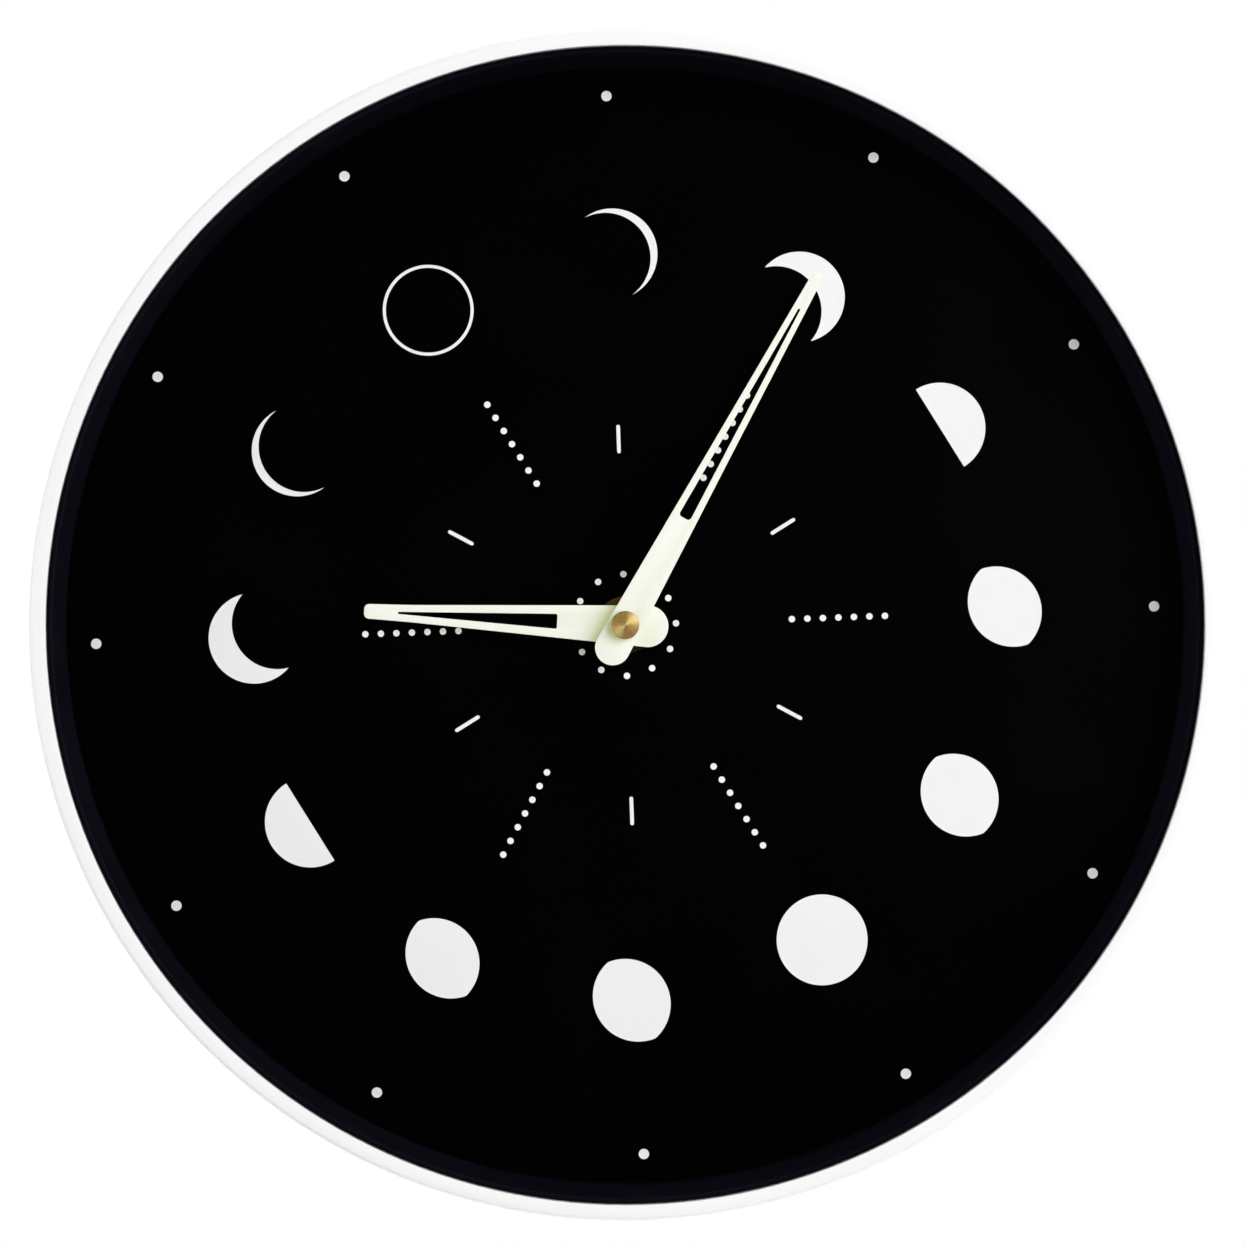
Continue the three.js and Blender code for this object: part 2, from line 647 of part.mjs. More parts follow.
function hourHand() {
  const hole = PIPE_RADIUS + GAP;
  const plate = raised(handOutline(HOUR_HAND, hole), HOUR_HAND_BACK, HOUR_HAND_FRONT).rotateZ(-HOUR_ANGLE);
  const colletFront = HOUR_HAND_BACK + HAND_THICKNESS / 2;
  const collet = ring(hole, COLLET_RADIUS, HOUR_HAND_BACK - COLLET_HEIGHT, colletFront, ROUND_STEPS);
  return join(plate, collet);
}

function minuteHand() {
  const outline = handOutline(MINUTE_HAND, SHAFT_TIP_RADIUS + GAP);
  return raised(outline, MINUTE_HAND_BACK, MINUTE_HAND_FRONT).rotateZ(-MINUTE_ANGLE);
}

function handNut() {
  const bore = SHAFT_TIP_RADIUS + GAP;
  return turned(
    [
      [bore, CAP_NUT_BACK],
      [CAP_NUT_RADIUS, CAP_NUT_BACK],
      [CAP_NUT_RADIUS, CAP_NUT_FRONT - CAP_NUT_CROWN],
      [CAP_NUT_RADIUS - CAP_NUT_CROWN, CAP_NUT_FRONT],
      [0, CAP_NUT_FRONT],
      [0, CAP_NUT_FRONT - CAP_NUT_CROWN],
      [bore, CAP_NUT_FRONT - CAP_NUT_CROWN],
    ],
    ROUND_STEPS,
  );
}

// Gears

// An involute gear outline centred on the origin, with one tooth's middle at the angle of its phase.
function gearOutline(teeth, module, phase, bore) {
  const pitch = (teeth * module) / 2;
  const base = pitch * Math.cos(PRESSURE_ANGLE);
  const involute = (angle) => Math.tan(angle) - angle;
  const halfAt = (radius) => {
    const angle = Math.acos(Math.min(1, base / Math.max(radius, base)));
    const atPitch = Math.PI / 2 / teeth - (BACKLASH * module) / 2 / pitch;
    return atPitch + involute(PRESSURE_ANGLE) - involute(angle);
  };
  const tip = pitch + ADDENDUM * module;
  const root = pitch - DEDENDUM * module;
  const radii = [root, tip];
  const points = [];
  for (let tooth = 0; tooth < teeth; tooth += 1) {
    const middle = phase + (tooth * 2 * Math.PI) / teeth;
    const rising = radii.map((radius) => polar(AXIS, radius, middle - halfAt(radius)));
    const falling = radii.map((radius) => polar(AXIS, radius, middle + halfAt(radius))).reverse();
    points.push(...rising, ...falling);
  }
  const shape = new THREE.Shape(points.map(([x, y]) => new THREE.Vector2(x, y)));
  if (bore > 0) {
    shape.holes.push(new THREE.Path().absarc(0, 0, bore, 0, 2 * Math.PI));
  }
  return shape;
}

function gear({ teeth, module, phase, centre }, back, front, bore = 0) {
  return raised(gearOutline(teeth, module, phase, bore), back, front).translate(centre[0], centre[1], 0);
}

// A gear placed in mesh with another, in the given direction from it, with a gap facing the other's tooth.
function meshed(driver, teeth, direction) {
  const distance = ((driver.teeth + teeth) * driver.module) / 2;
  const step = (2 * Math.PI) / driver.teeth;
  const share = (direction - driver.phase) / step;
  const phase = direction + Math.PI + ((share + 0.5) * 2 * Math.PI) / teeth;
  return { teeth, module: driver.module, phase, centre: polar(driver.centre, distance, direction) };
}

const centreGear = { teeth: CENTRE_TEETH, module: TRAIN_MODULE, phase: 0, centre: AXIS };
const thirdLeaves = meshed(centreGear, TRAIN_LEAVES, THIRD_DIRECTION);
const thirdGear = { teeth: THIRD_TEETH, module: TRAIN_MODULE, phase: 0, centre: thirdLeaves.centre };
const secondsLeaves = meshed(thirdGear, TRAIN_LEAVES, SECONDS_DIRECTION);
const secondsGear = { teeth: SECONDS_TEETH, module: TRAIN_MODULE, phase: 0, centre: secondsLeaves.centre };
const intermediateLeaves = meshed(secondsGear, TRAIN_LEAVES, INTERMEDIATE_DIRECTION);
const intermediateGear = {
  teeth: INTERMEDIATE_TEETH,
  module: TRAIN_MODULE,
  phase: 0,
  centre: intermediateLeaves.centre,
};
const rotorLeaves = meshed(intermediateGear, TRAIN_LEAVES, ROTOR_DIRECTION);
const cannonGear = { teeth: CANNON_TEETH, module: MOTION_MODULE, phase: 0, centre: AXIS };
const minuteGear = meshed(cannonGear, MINUTE_TEETH, MINUTE_DIRECTION);
const minuteLeaves = { teeth: MINUTE_LEAVES, module: MOTION_MODULE, phase: 0, centre: minuteGear.centre };
const hourGear = meshed(minuteLeaves, HOUR_TEETH, MINUTE_DIRECTION + Math.PI);
const settingGear = meshed(minuteGear, SETTING_TEETH, SETTING_DIRECTION);

// Heights of the wheels, from the cover forwards
const COVER_FRONT = MOVEMENT_BACK + COVER_THICKNESS;
const PIVOT_BACK = COVER_FRONT - GAP;
const BOSS_FRONT = COVER_FRONT + PIVOT_BOSS;
const INTERMEDIATE_BACK = BOSS_FRONT + GAP + LEAF_OVERLAP / 2;
const SECONDS_BACK = INTERMEDIATE_BACK + WHEEL_THICKNESS + LAYER_GAP + LEAF_OVERLAP;
const THIRD_BACK = SECONDS_BACK + WHEEL_THICKNESS + LAYER_GAP + LEAF_OVERLAP;
const CENTRE_BACK = THIRD_BACK + WHEEL_THICKNESS + LAYER_GAP + LEAF_OVERLAP;
const CENTRE_FRONT = CENTRE_BACK + WHEEL_THICKNESS;
const CLUTCH_BACK = CENTRE_FRONT + GAP;
const CLUTCH_FRONT = CLUTCH_BACK + CLUTCH_THICKNESS;
const BRIDGE_BACK = CLUTCH_FRONT + LAYER_GAP;
const BRIDGE_FRONT = BRIDGE_BACK + BRIDGE_THICKNESS;
const CANNON_BACK = BRIDGE_FRONT + LEAF_OVERLAP + GAP;
const MINUTE_BACK = CANNON_BACK + LEAF_OVERLAP;
const MINUTE_FRONT = MINUTE_BACK + WHEEL_THICKNESS;
const CANNON_FRONT = MINUTE_FRONT + LEAF_OVERLAP;
const HOUR_BACK = CANNON_FRONT + GAP;
const HOUR_FRONT = HOUR_BACK + WHEEL_THICKNESS;

// A wheel on its arbor with its pinion in front and a pivot at each end.
function arborWheel(wheel, leaves, wheelBack, leavesFront, pivotFront) {
  const centre = wheel.centre;
  const body = gear(wheel, wheelBack, wheelBack + WHEEL_THICKNESS);
  const pinion = gear(leaves, wheelBack + WHEEL_THICKNESS / 2, leavesFront);
  const arbor = disc(PIVOT_RADIUS, PIVOT_BACK, pivotFront, centre, PIVOT_STEPS);
  return join(body, pinion, arbor);
}

const frontOfLeaves = (drivenBack) => drivenBack + WHEEL_THICKNESS + LEAF_OVERLAP;
const PIVOT_LENGTH = 1.2;
const intermediateSeat = frontOfLeaves(SECONDS_BACK) + GAP;
const secondsSeat = frontOfLeaves(THIRD_BACK) + GAP;
const MAGNET_BACK = INTERMEDIATE_BACK + WHEEL_THICKNESS + LEAF_OVERLAP + GAP;
const MAGNET_FRONT = MAGNET_BACK + MAGNET_HEIGHT;
const rotorSeat = MAGNET_FRONT + GAP;

function rotor() {
  const centre = rotorLeaves.centre;
  const leaves = gear(rotorLeaves, INTERMEDIATE_BACK - LEAF_OVERLAP / 2, MAGNET_BACK + GAP);
  const magnet = disc(MAGNET_RADIUS, MAGNET_BACK, MAGNET_FRONT, centre);
  const arbor = disc(PIVOT_RADIUS, PIVOT_BACK, rotorSeat + PIVOT_LENGTH, centre, PIVOT_STEPS);
  return join(leaves, magnet, arbor);
}

function intermediateWheel() {
  const front = frontOfLeaves(SECONDS_BACK);
  const end = intermediateSeat + PIVOT_LENGTH;
  return arborWheel(intermediateGear, intermediateLeaves, INTERMEDIATE_BACK, front, end);
}

function secondsWheel() {
  const front = frontOfLeaves(THIRD_BACK);
  return arborWheel(secondsGear, secondsLeaves, SECONDS_BACK, front, secondsSeat + PIVOT_LENGTH);
}

function thirdWheel() {
  const front = frontOfLeaves(CENTRE_BACK);
  return arborWheel(thirdGear, thirdLeaves, THIRD_BACK, front, BRIDGE_FRONT - GAP);
}

const ARBOR_RADIUS = 1;
const SHOULDER_RADIUS = 2.2;
const HUB_RADIUS = 2;

function centreWheel() {
  return gear(centreGear, CENTRE_BACK, CENTRE_FRONT, ARBOR_RADIUS + GAP);
}

// The three-armed spring washer that lets the hands be set while the train stands still.
function clutchSpring() {
  const hole = ARBOR_RADIUS + GAP;
  const plate = disc(SHOULDER_RADIUS, CLUTCH_BACK, CLUTCH_FRONT);
  const arms = Array.from({ length: CLUTCH_ARMS }, (_, i) => {
    const tip = polar(AXIS, CLUTCH_RADIUS - CLUTCH_ARM / 2, (i * 2 * Math.PI) / CLUTCH_ARMS);
    return bar(AXIS, tip, CLUTCH_ARM, CLUTCH_BACK, CLUTCH_FRONT);
  });
  return cut(join(plate, ...arms), disc(hole, CLUTCH_BACK - PAST, CLUTCH_FRONT + PAST));
}

// The minute shaft: rear pivot, clutch seat, hub, cannon pinion and the long front stem for the hand.
function minuteShaft() {
  const tipBack = MINUTE_HAND_BACK - GAP;
  const tipFront = CAP_NUT_FRONT - CAP_NUT_CROWN - GAP;
  const stem = turned(
    [
      [0, PIVOT_BACK],
      [PIVOT_RADIUS, PIVOT_BACK],
      [PIVOT_RADIUS, BOSS_FRONT + GAP],
      [ARBOR_RADIUS, BOSS_FRONT + GAP],
      [ARBOR_RADIUS, CENTRE_BACK - 2 * GAP],
      [SHOULDER_RADIUS, CENTRE_BACK - 2 * GAP],
      [SHOULDER_RADIUS, CENTRE_BACK - GAP],
      [ARBOR_RADIUS, CENTRE_BACK - GAP],
      [ARBOR_RADIUS, CLUTCH_FRONT + GAP],
      [HUB_RADIUS, CLUTCH_FRONT + GAP],
      [HUB_RADIUS, CANNON_BACK + GAP],
      [SHAFT_RADIUS, CANNON_BACK + GAP],
      [SHAFT_RADIUS, tipBack],
      [SHAFT_TIP_RADIUS, tipBack],
      [SHAFT_TIP_RADIUS, tipFront],
      [0, tipFront],
    ],
    PIN_STEPS,
  );
  return join(stem, gear(cannonGear, CANNON_BACK, CANNON_FRONT));
}

const MINUTE_POST_RADIUS = 0.7;

function minuteWheel() {
  const bore = MINUTE_POST_RADIUS + GAP;
  const front = HOUR_FRONT + LEAF_OVERLAP;
  const wheel = gear(minuteGear, MINUTE_BACK, MINUTE_FRONT, bore);
  const leaves = gear(minuteLeaves, MINUTE_BACK + WHEEL_THICKNESS / 2, front, bore);
  const hub = ring(bore, HUB_RADIUS, BRIDGE_FRONT + GAP, MINUTE_BACK + WHEEL_THICKNESS / 2, ROUND_STEPS);
  return join(wheel, leaves, hub.translate(minuteGear.centre[0], minuteGear.centre[1], 0));
}

function hourWheel() {
  const wheel = gear(hourGear, HOUR_BACK, HOUR_FRONT, PIPE_BORE);
  const pipe = ring(PIPE_BORE, PIPE_RADIUS, HOUR_BACK, HOUR_HAND_FRONT + GAP, ROUND_STEPS);
  return join(wheel, pipe);
}

// Hand setting

const KNOB_FRONT = MOVEMENT_BACK - GAP;
const STEM_FRONT = CANNON_FRONT + GAP;
const settingSeat = STEM_FRONT + GAP;

function settingKnob() {
  const centre = settingGear.centre;
  const rim = [];
  for (let i = 0; i < 2 * KNOB_FLUTES; i += 1) {
    const radius = KNOB_RADIUS - (i % 2) * KNOB_FLUTE_DEPTH;
    const [x, y] = polar(AXIS, radius, (i * Math.PI) / KNOB_FLUTES);
    rim.push(new THREE.Vector2(x, y));
  }
  const knob = raised(new THREE.Shape(rim), KNOB_FRONT - KNOB_THICKNESS, KNOB_FRONT);
  knob.translate(centre[0], centre[1], 0);
  const stem = disc(STEM_RADIUS, KNOB_FRONT - KNOB_THICKNESS / 2, STEM_FRONT, centre);
  const pivot = disc(PIVOT_RADIUS, STEM_FRONT - GAP, settingSeat + PIVOT_LENGTH, centre, PIVOT_STEPS);
  return join(knob, stem, pivot);
}

function settingPinion() {
  return gear(settingGear, CANNON_BACK, CANNON_FRONT, STEM_RADIUS + GAP);
}

// Movement case

const MOVEMENT_HALF = MOVEMENT_SIZE / 2;
const CAVITY_HALF = MOVEMENT_HALF - MOVEMENT_WALL;
const BAY_HALF_LENGTH = CAVITY_HALF - GAP;
const BAY_FRONT = MOVEMENT_FRONT - BAY_FLOOR;
const STRIP_BACK = COVER_FRONT + 2 * GAP;
const STRIP_FRONT = STRIP_BACK + CONTACT_THICKNESS;
const BOARD_BACK = STRIP_FRONT + GAP;
const BOARD_FRONT = BOARD_BACK + BOARD_THICKNESS;
const BOARD_LOW = CAVITY_LOW + 2 * GAP;
const BOARD_MIDDLE = BOARD_LOW + BOARD_WIDTH / 2;
const CLIP_FRONT = COVER_FRONT + CLIP_LENGTH;
const BARB_BACK = CLIP_FRONT - 2 * CLIP_BARB - GAP;
const postX = CAVITY_HALF - POST_INSET;
const postPlaces = [
  [-postX, LOW_POST_Y],
  [postX, LOW_POST_Y],
  [-postX, postX],
  [postX, postX],
];
const clips = [
  { at: [0, CAVITY_HALF - GAP], turn: Math.PI / 2 },
  { at: [-(CAVITY_HALF - GAP), LEFT_CLIP_Y], turn: Math.PI },
  { at: [CAVITY_HALF - GAP, RIGHT_CLIP_Y], turn: 0 },
];

function clipWindow({ at, turn }) {
  const half = CLIP_WIDTH / 2 + GAP;
  const back = BARB_BACK - GAP;
  const window = block(0, GAP + MOVEMENT_WALL + PAST, -half, half, back, CLIP_FRONT + GAP);
  return window.rotateZ(turn).translate(at[0], at[1], 0);
}

function pivotHole(place, back, front) {
  return disc(PIVOT_RADIUS + GAP, back, front, place, PIVOT_STEPS);
}

function movementHousing() {
  const half = MOVEMENT_HALF;
  const wide = CAVITY_HALF;
  const outline = roundedOutline(-half, half, MOVEMENT_LOW, half, MOVEMENT_CORNER);
  const outer = raised(outline, MOVEMENT_BACK, MOVEMENT_FRONT);
  const cavity = block(-wide, wide, CAVITY_LOW, wide, MOVEMENT_BACK - PAST, HOUSING_FRONT_WALL);
  const bay = block(
    -BAY_HALF_LENGTH,
    BAY_HALF_LENGTH,
    BAY_MIDDLE - BAY_HALF_WIDTH,
    BAY_TOP,
    MOVEMENT_BACK - PAST,
    BAY_FRONT,
  );
  const notchInner = BAY_HALF_LENGTH - CONTACT_THICKNESS - 2 * GAP;
  const notches = [-1, 1].map((side) => {
    const [left, right] = side < 0 ? [-BAY_HALF_LENGTH, -notchInner] : [notchInner, BAY_HALF_LENGTH];
    return block(left, right, BAY_TOP - PAST, CAVITY_LOW + PAST, MOVEMENT_BACK - PAST, BOARD_FRONT + GAP);
  });
  const bushHole = disc(BUSH_HOLE, HOUSING_FRONT_WALL - PAST, MOVEMENT_FRONT + PAST);
  const shell = cut(outer, cavity, bay, ...notches, bushHole, ...clips.map(clipWindow));
  const inWall = HOUSING_FRONT_WALL + MOVEMENT_WALL / 2;
  const posts = postPlaces.map((place) => disc(POST_RADIUS, BRIDGE_FRONT + GAP, inWall, place, PIVOT_STEPS));
  const minutePost = disc(MINUTE_POST_RADIUS, BRIDGE_FRONT + GAP, inWall, minuteGear.centre, PIVOT_STEPS);
  const settingBoss = disc(PIVOT_BOSS_RADIUS, settingSeat, inWall, settingGear.centre, PIVOT_STEPS);
  const settingHole = pivotHole(settingGear.centre, settingSeat - PAST, HOUSING_FRONT_WALL);
  return cut(join(shell, ...posts, minutePost, settingBoss), settingHole);
}

// A spring leg of the cover with a barb that catches in a window of the housing.
function coverClip({ at, turn }) {
  const half = CLIP_WIDTH / 2;
  const outline = new THREE.Shape();
  outline.moveTo(-CLIP_THICKNESS, COVER_FRONT - COVER_THICKNESS / 2);
  outline.lineTo(0, COVER_FRONT - COVER_THICKNESS / 2);
  outline.lineTo(0, BARB_BACK);
  outline.lineTo(CLIP_BARB + GAP, BARB_BACK);
  outline.lineTo(0, CLIP_FRONT);
  outline.lineTo(-CLIP_THICKNESS, CLIP_FRONT);
  const leg = raised(outline, -half, half).rotateX(Math.PI / 2);
  return leg.rotateZ(turn).translate(at[0], at[1], 0);
}

function movementCover() {
  const edge = CAVITY_HALF - GAP;
  const plate = block(-edge, edge, CAVITY_LOW + GAP, edge, MOVEMENT_BACK, COVER_FRONT);
  const root = COVER_FRONT - COVER_THICKNESS / 2;
  const posts = postPlaces.map((place) => disc(POST_RADIUS, root, BRIDGE_BACK - GAP, place, PIVOT_STEPS));
  const wheels = [rotorLeaves, intermediateGear, secondsGear, thirdGear, centreGear];
  const pivots = wheels.map((wheel) => wheel.centre);
  const bosses = pivots.map((place) => disc(PIVOT_BOSS_RADIUS, root, BOSS_FRONT, place, PIVOT_STEPS));
  const holes = pivots.map((place) => pivotHole(place, PIVOT_BACK - GAP, BOSS_FRONT + PAST));
  const boardPosts = BOARD_POST_X.map((x) => {
    return disc(POST_RADIUS, root, BOARD_BACK - GAP, [x, BOARD_MIDDLE + POST_RADIUS], PIVOT_STEPS);
  });
  const statorPosts = [coreLeft, coreRight].map((x) => {
    return disc(POST_RADIUS, root, STATOR_BACK - GAP, [x, COIL_Y], PIVOT_STEPS);
  });
  const stemHole = disc(STEM_RADIUS + GAP, MOVEMENT_BACK - PAST, COVER_FRONT + PAST, settingGear.centre);
  const raisedParts = [...posts, ...bosses, ...boardPosts, ...statorPosts, ...clips.map(coverClip)];
  return cut(join(plate, ...raisedParts), ...holes, stemHole);
}

// The plate between the going train and the motion work, with bosses for the front pivots.
function trainBridge() {
  const edge = CAVITY_HALF - BRIDGE_TO_WALL;
  const side = edge - CLIP_THICKNESS;
  const plate = block(-side, side, CAVITY_LOW + BRIDGE_TO_WALL, side, BRIDGE_BACK, BRIDGE_FRONT);
  const pads = postPlaces.map((place) => disc(POST_RADIUS, BRIDGE_BACK, BRIDGE_FRONT, place, PIVOT_STEPS));
  const seats = [
    { place: rotorLeaves.centre, seat: rotorSeat },
    { place: intermediateGear.centre, seat: intermediateSeat },
    { place: secondsGear.centre, seat: secondsSeat },
  ];
  const inPlate = BRIDGE_BACK + BRIDGE_THICKNESS / 2;
  const bosses = seats.map(({ place, seat }) => disc(PIVOT_BOSS_RADIUS, seat, inPlate, place, PIVOT_STEPS));
  const pivots = [...seats, { place: thirdGear.centre, seat: BRIDGE_BACK }];
  const holes = pivots.map(({ place, seat }) => pivotHole(place, seat - PAST, BRIDGE_FRONT + PAST));
  const hubHole = disc(HUB_RADIUS + GAP, BRIDGE_BACK - PAST, BRIDGE_FRONT + PAST);
  const stemHole = disc(STEM_RADIUS + GAP, BRIDGE_BACK - PAST, BRIDGE_FRONT + PAST, settingGear.centre);
  return cut(join(plate, ...pads, ...bosses), ...holes, hubHole, stemHole);
}

// Battery, contacts and circuit

const CELL_HEIGHT = BAY_FRONT - GAP - CELL_RADIUS;
const CELL_END = BAY_HALF_LENGTH - CONTACT_THICKNESS - 2 * GAP;
const CELL_START = CONTACT_PLAY + GAP + CONTACT_THICKNESS + CONTACT_BOW - BAY_HALF_LENGTH;

function battery() {
  const chamfer = CELL_NUB / 2;
  const shoulder = CELL_END - CELL_NUB;
  const cell = turned(
    [
      [0, CELL_START],
      [CELL_RADIUS - chamfer, CELL_START],
      [CELL_RADIUS, CELL_START + chamfer],
      [CELL_RADIUS, shoulder - chamfer],
      [CELL_RADIUS - chamfer, shoulder],
      [CELL_NUB_RADIUS, shoulder],
      [CELL_NUB_RADIUS, CELL_END],
      [0, CELL_END],
    ],
    2 * ROUND_STEPS,
  );
  return cell.rotateY(Math.PI / 2).translate(0, BAY_MIDDLE, CELL_HEIGHT);
}

// A leaf contact at one end of the bay, bowed towards the cell, with a strip that runs under the board.
function leafContact(side, bow, stripEnd) {
  const wall = BAY_HALF_LENGTH - GAP;
  const face = wall - CONTACT_THICKNESS;
  const half = CONTACT_LENGTH / 2;
  const leaf = new THREE.Shape();
  leaf.moveTo(wall, BAY_MIDDLE - half);
  leaf.quadraticCurveTo(wall - 2 * bow, BAY_MIDDLE, wall, BAY_MIDDLE + half);
  leaf.lineTo(face, BAY_MIDDLE + half);
  leaf.quadraticCurveTo(face - 2 * bow, BAY_MIDDLE, face, BAY_MIDDLE - half);
  const back = CELL_HEIGHT - CONTACT_HEIGHT / 2;
  const blade = raised(leaf, back, back + CONTACT_HEIGHT);
  const stripHigh = CAVITY_LOW + GAP + STRIP_WIDTH;
  const tailLow = BAY_MIDDLE + half - 2 * CONTACT_THICKNESS;
  const tail = block(face, wall, tailLow, stripHigh, STRIP_BACK, back + 2 * CONTACT_THICKNESS);
  const strip = block(stripEnd, wall, CAVITY_LOW + GAP, stripHigh, STRIP_BACK, STRIP_FRONT);
  const contact = join(blade, tail, strip);
  return side > 0 ? contact : geometryOf(solidOf(contact.scale(-1, 1, 1)));
}

function circuitBoard() {
  return block(BOARD_LEFT, BOARD_RIGHT, BOARD_LOW, BOARD_LOW + BOARD_WIDTH, BOARD_BACK, BOARD_FRONT);
}

function quartzCrystal() {
  const can = disc(CRYSTAL_RADIUS, 0, CRYSTAL_LENGTH).rotateY(Math.PI / 2);
  return can.translate(BOARD_LEFT + CRYSTAL_LENGTH, BOARD_MIDDLE, BOARD_FRONT + GAP + CRYSTAL_RADIUS);
}

function timerChip() {
  const back = BOARD_FRONT + GAP;
  const cap = turned(
    [
      [0, back],
      [CHIP_RADIUS, back],
      [CHIP_TOP_RADIUS, back + CHIP_SHOULDER],
      [0, back + CHIP_HEIGHT],
    ],
    ROUND_STEPS,
  );
  return cap.translate(BOARD_RIGHT - 2 * CHIP_RADIUS, BOARD_MIDDLE, 0);
}

// Stepping motor

const STATOR_BACK = (MAGNET_BACK + MAGNET_FRONT - STATOR_THICKNESS) / 2;
const STATOR_FRONT = STATOR_BACK + STATOR_THICKNESS;
const CORE_BACK = STATOR_FRONT + GAP;
const CORE_FRONT = CORE_BACK + CORE_THICKNESS;
const COIL_HEIGHT = (CORE_BACK + CORE_FRONT) / 2;
const COIL_Y = CAVITY_LOW + 3 * GAP + COIL_RADIUS;
const coreLeft = COIL_MIDDLE_X - COIL_LENGTH / 2 - STATOR_ARM / 2 - GAP;
const coreRight = COIL_MIDDLE_X + COIL_LENGTH / 2 + STATOR_ARM / 2 + GAP;

function stator() {
  const [x, y] = rotorLeaves.centre;
  const hole = MAGNET_RADIUS + ROTOR_AIR_GAP;
  const plate = disc(STATOR_RADIUS, STATOR_BACK, STATOR_FRONT, [x, y]);
  const reach = STATOR_RADIUS - STATOR_ARM / 2;
  const left = bar([x - reach / 2, y - reach / 2], [coreLeft, COIL_Y], STATOR_ARM, STATOR_BACK, STATOR_FRONT);
  const knee = [coreRight, COIL_Y + COIL_RADIUS + STATOR_ARM];
  const right = bar([x + reach / 2, y - reach / 2], knee, STATOR_ARM, STATOR_BACK, STATOR_FRONT);
  const foot = bar(knee, [coreRight, COIL_Y], STATOR_ARM, STATOR_BACK, STATOR_FRONT);
  const notches = [-1, 1].map((side) => {
    const place = [x, y + side * STATOR_RADIUS];
    return disc(NOTCH_RADIUS, STATOR_BACK - PAST, STATOR_FRONT + PAST, place, PIVOT_STEPS);
  });
  const bore = disc(hole, STATOR_BACK - PAST, STATOR_FRONT + PAST, [x, y]);
  return cut(join(plate, left, right, foot), bore, ...notches);
}

function coilCore() {
  return bar([coreLeft, COIL_Y], [coreRight, COIL_Y], STATOR_ARM, CORE_BACK, CORE_FRONT);
}

function driveCoil() {
  const half = COIL_LENGTH / 2;
  const spool = turned(
    [
      [0, -half],
      [COIL_RADIUS, -half],
      [COIL_RADIUS, COIL_FLANGE - half],
      [COIL_RADIUS - COIL_STEP, COIL_FLANGE - half],
      [COIL_RADIUS - COIL_STEP, half - COIL_FLANGE],
      [COIL_RADIUS, half - COIL_FLANGE],
      [COIL_RADIUS, half],
      [0, half],
    ],
    ROUND_STEPS,
  );
  const wide = STATOR_ARM / 2 + GAP;
  const deep = CORE_THICKNESS / 2 + GAP;
  const window = block(-half - PAST, half + PAST, -wide, wide, -deep, deep);
  return cut(spool.rotateY(Math.PI / 2), window).translate(COIL_MIDDLE_X, COIL_Y, COIL_HEIGHT);
}

// Finishes and the assembly

function finish(color, roughness, metalness = 0) {
  return new THREE.MeshStandardMaterial({ color, roughness, metalness });
}

const whitePlastic = finish(0xf6f6f4, 0.35);
const blackPlastic = finish(0x0b0910, 0.55);
const blackPaint = finish(0x040405, 0.6);
const clearGlass = finish(0xf4f8f8, 0.02);
clearGlass.transparent = true;
clearGlass.opacity = 0.1;
const luminousPaint = finish(0xf3f5e6, 0.55);
const brass = finish(0xc9a65a, 0.3, 1);
const steel = finish(0xb9bcc0, 0.35, 1);
const darkPlastic = finish(0x1a1a1c, 0.5);
const gearPlastic = finish(0xe9e6da, 0.5);
const softRubber = finish(0x151515, 0.9);
const boardGreen = finish(0x2d6a3e, 0.6);
const copper = finish(0xb5713a, 0.35, 1);
const cellSleeve = finish(0x3b4a57, 0.4, 0.3);

const assembly = new THREE.Group();

function addPiece(name, geometry, material) {
  const mesh = new THREE.Mesh(geometry, material);
  mesh.name = name;
  mesh.geometry.computeVertexNormals();
  assembly.add(mesh);
}

addPiece("bezel_ring", bezelRing(), whitePlastic);
addPiece("lens", lens(), clearGlass);
addPiece("case_body", caseBody(), whitePlastic);
addPiece("dial_pan", dialPan(), blackPlastic);
addPiece("dial", dial(), blackPaint);
lugPlaces.forEach((place, i) => {
  addPiece(`pan_screw_${i + 1}`, screw(place, LUG_BACK, LUG_THICKNESS + SCREW_GRIP), steel);
});
addPiece("wall_hanger", wallHanger(), steel);
hangerPlaces.forEach((place, i) => {
  addPiece(`hanger_screw_${i + 1}`, screw(place, HANGER_TO_WALL, HANGER_THICKNESS + SCREW_GRIP), steel);
});

addPiece("cushion_washer", washer(CUSHION_RADIUS, CUSHION_BACK, CUSHION_THICKNESS), softRubber);
addPiece("threaded_bush", threadedBush(), brass);
addPiece("dial_washer", washer(WASHER_RADIUS, WASHER_BACK, WASHER_THICKNESS), brass);
addPiece("dial_nut", hexNut(), brass);
addPiece("hour_hand", hourHand(), luminousPaint);
addPiece("minute_hand", minuteHand(), luminousPaint);
addPiece("hand_nut", handNut(), brass);

addPiece("movement_housing", movementHousing(), darkPlastic);
addPiece("movement_cover", movementCover(), darkPlastic);
addPiece("train_bridge", trainBridge(), gearPlastic);
addPiece("rotor", rotor(), gearPlastic);
addPiece("intermediate_wheel", intermediateWheel(), gearPlastic);
addPiece("seconds_wheel", secondsWheel(), gearPlastic);
addPiece("third_wheel", thirdWheel(), gearPlastic);
addPiece("centre_wheel", centreWheel(), gearPlastic);
addPiece("clutch_spring", clutchSpring(), steel);
addPiece("minute_shaft", minuteShaft(), brass);
addPiece("minute_wheel", minuteWheel(), gearPlastic);
addPiece("hour_wheel", hourWheel(), gearPlastic);
addPiece("setting_knob", settingKnob(), darkPlastic);
addPiece("setting_pinion", settingPinion(), gearPlastic);

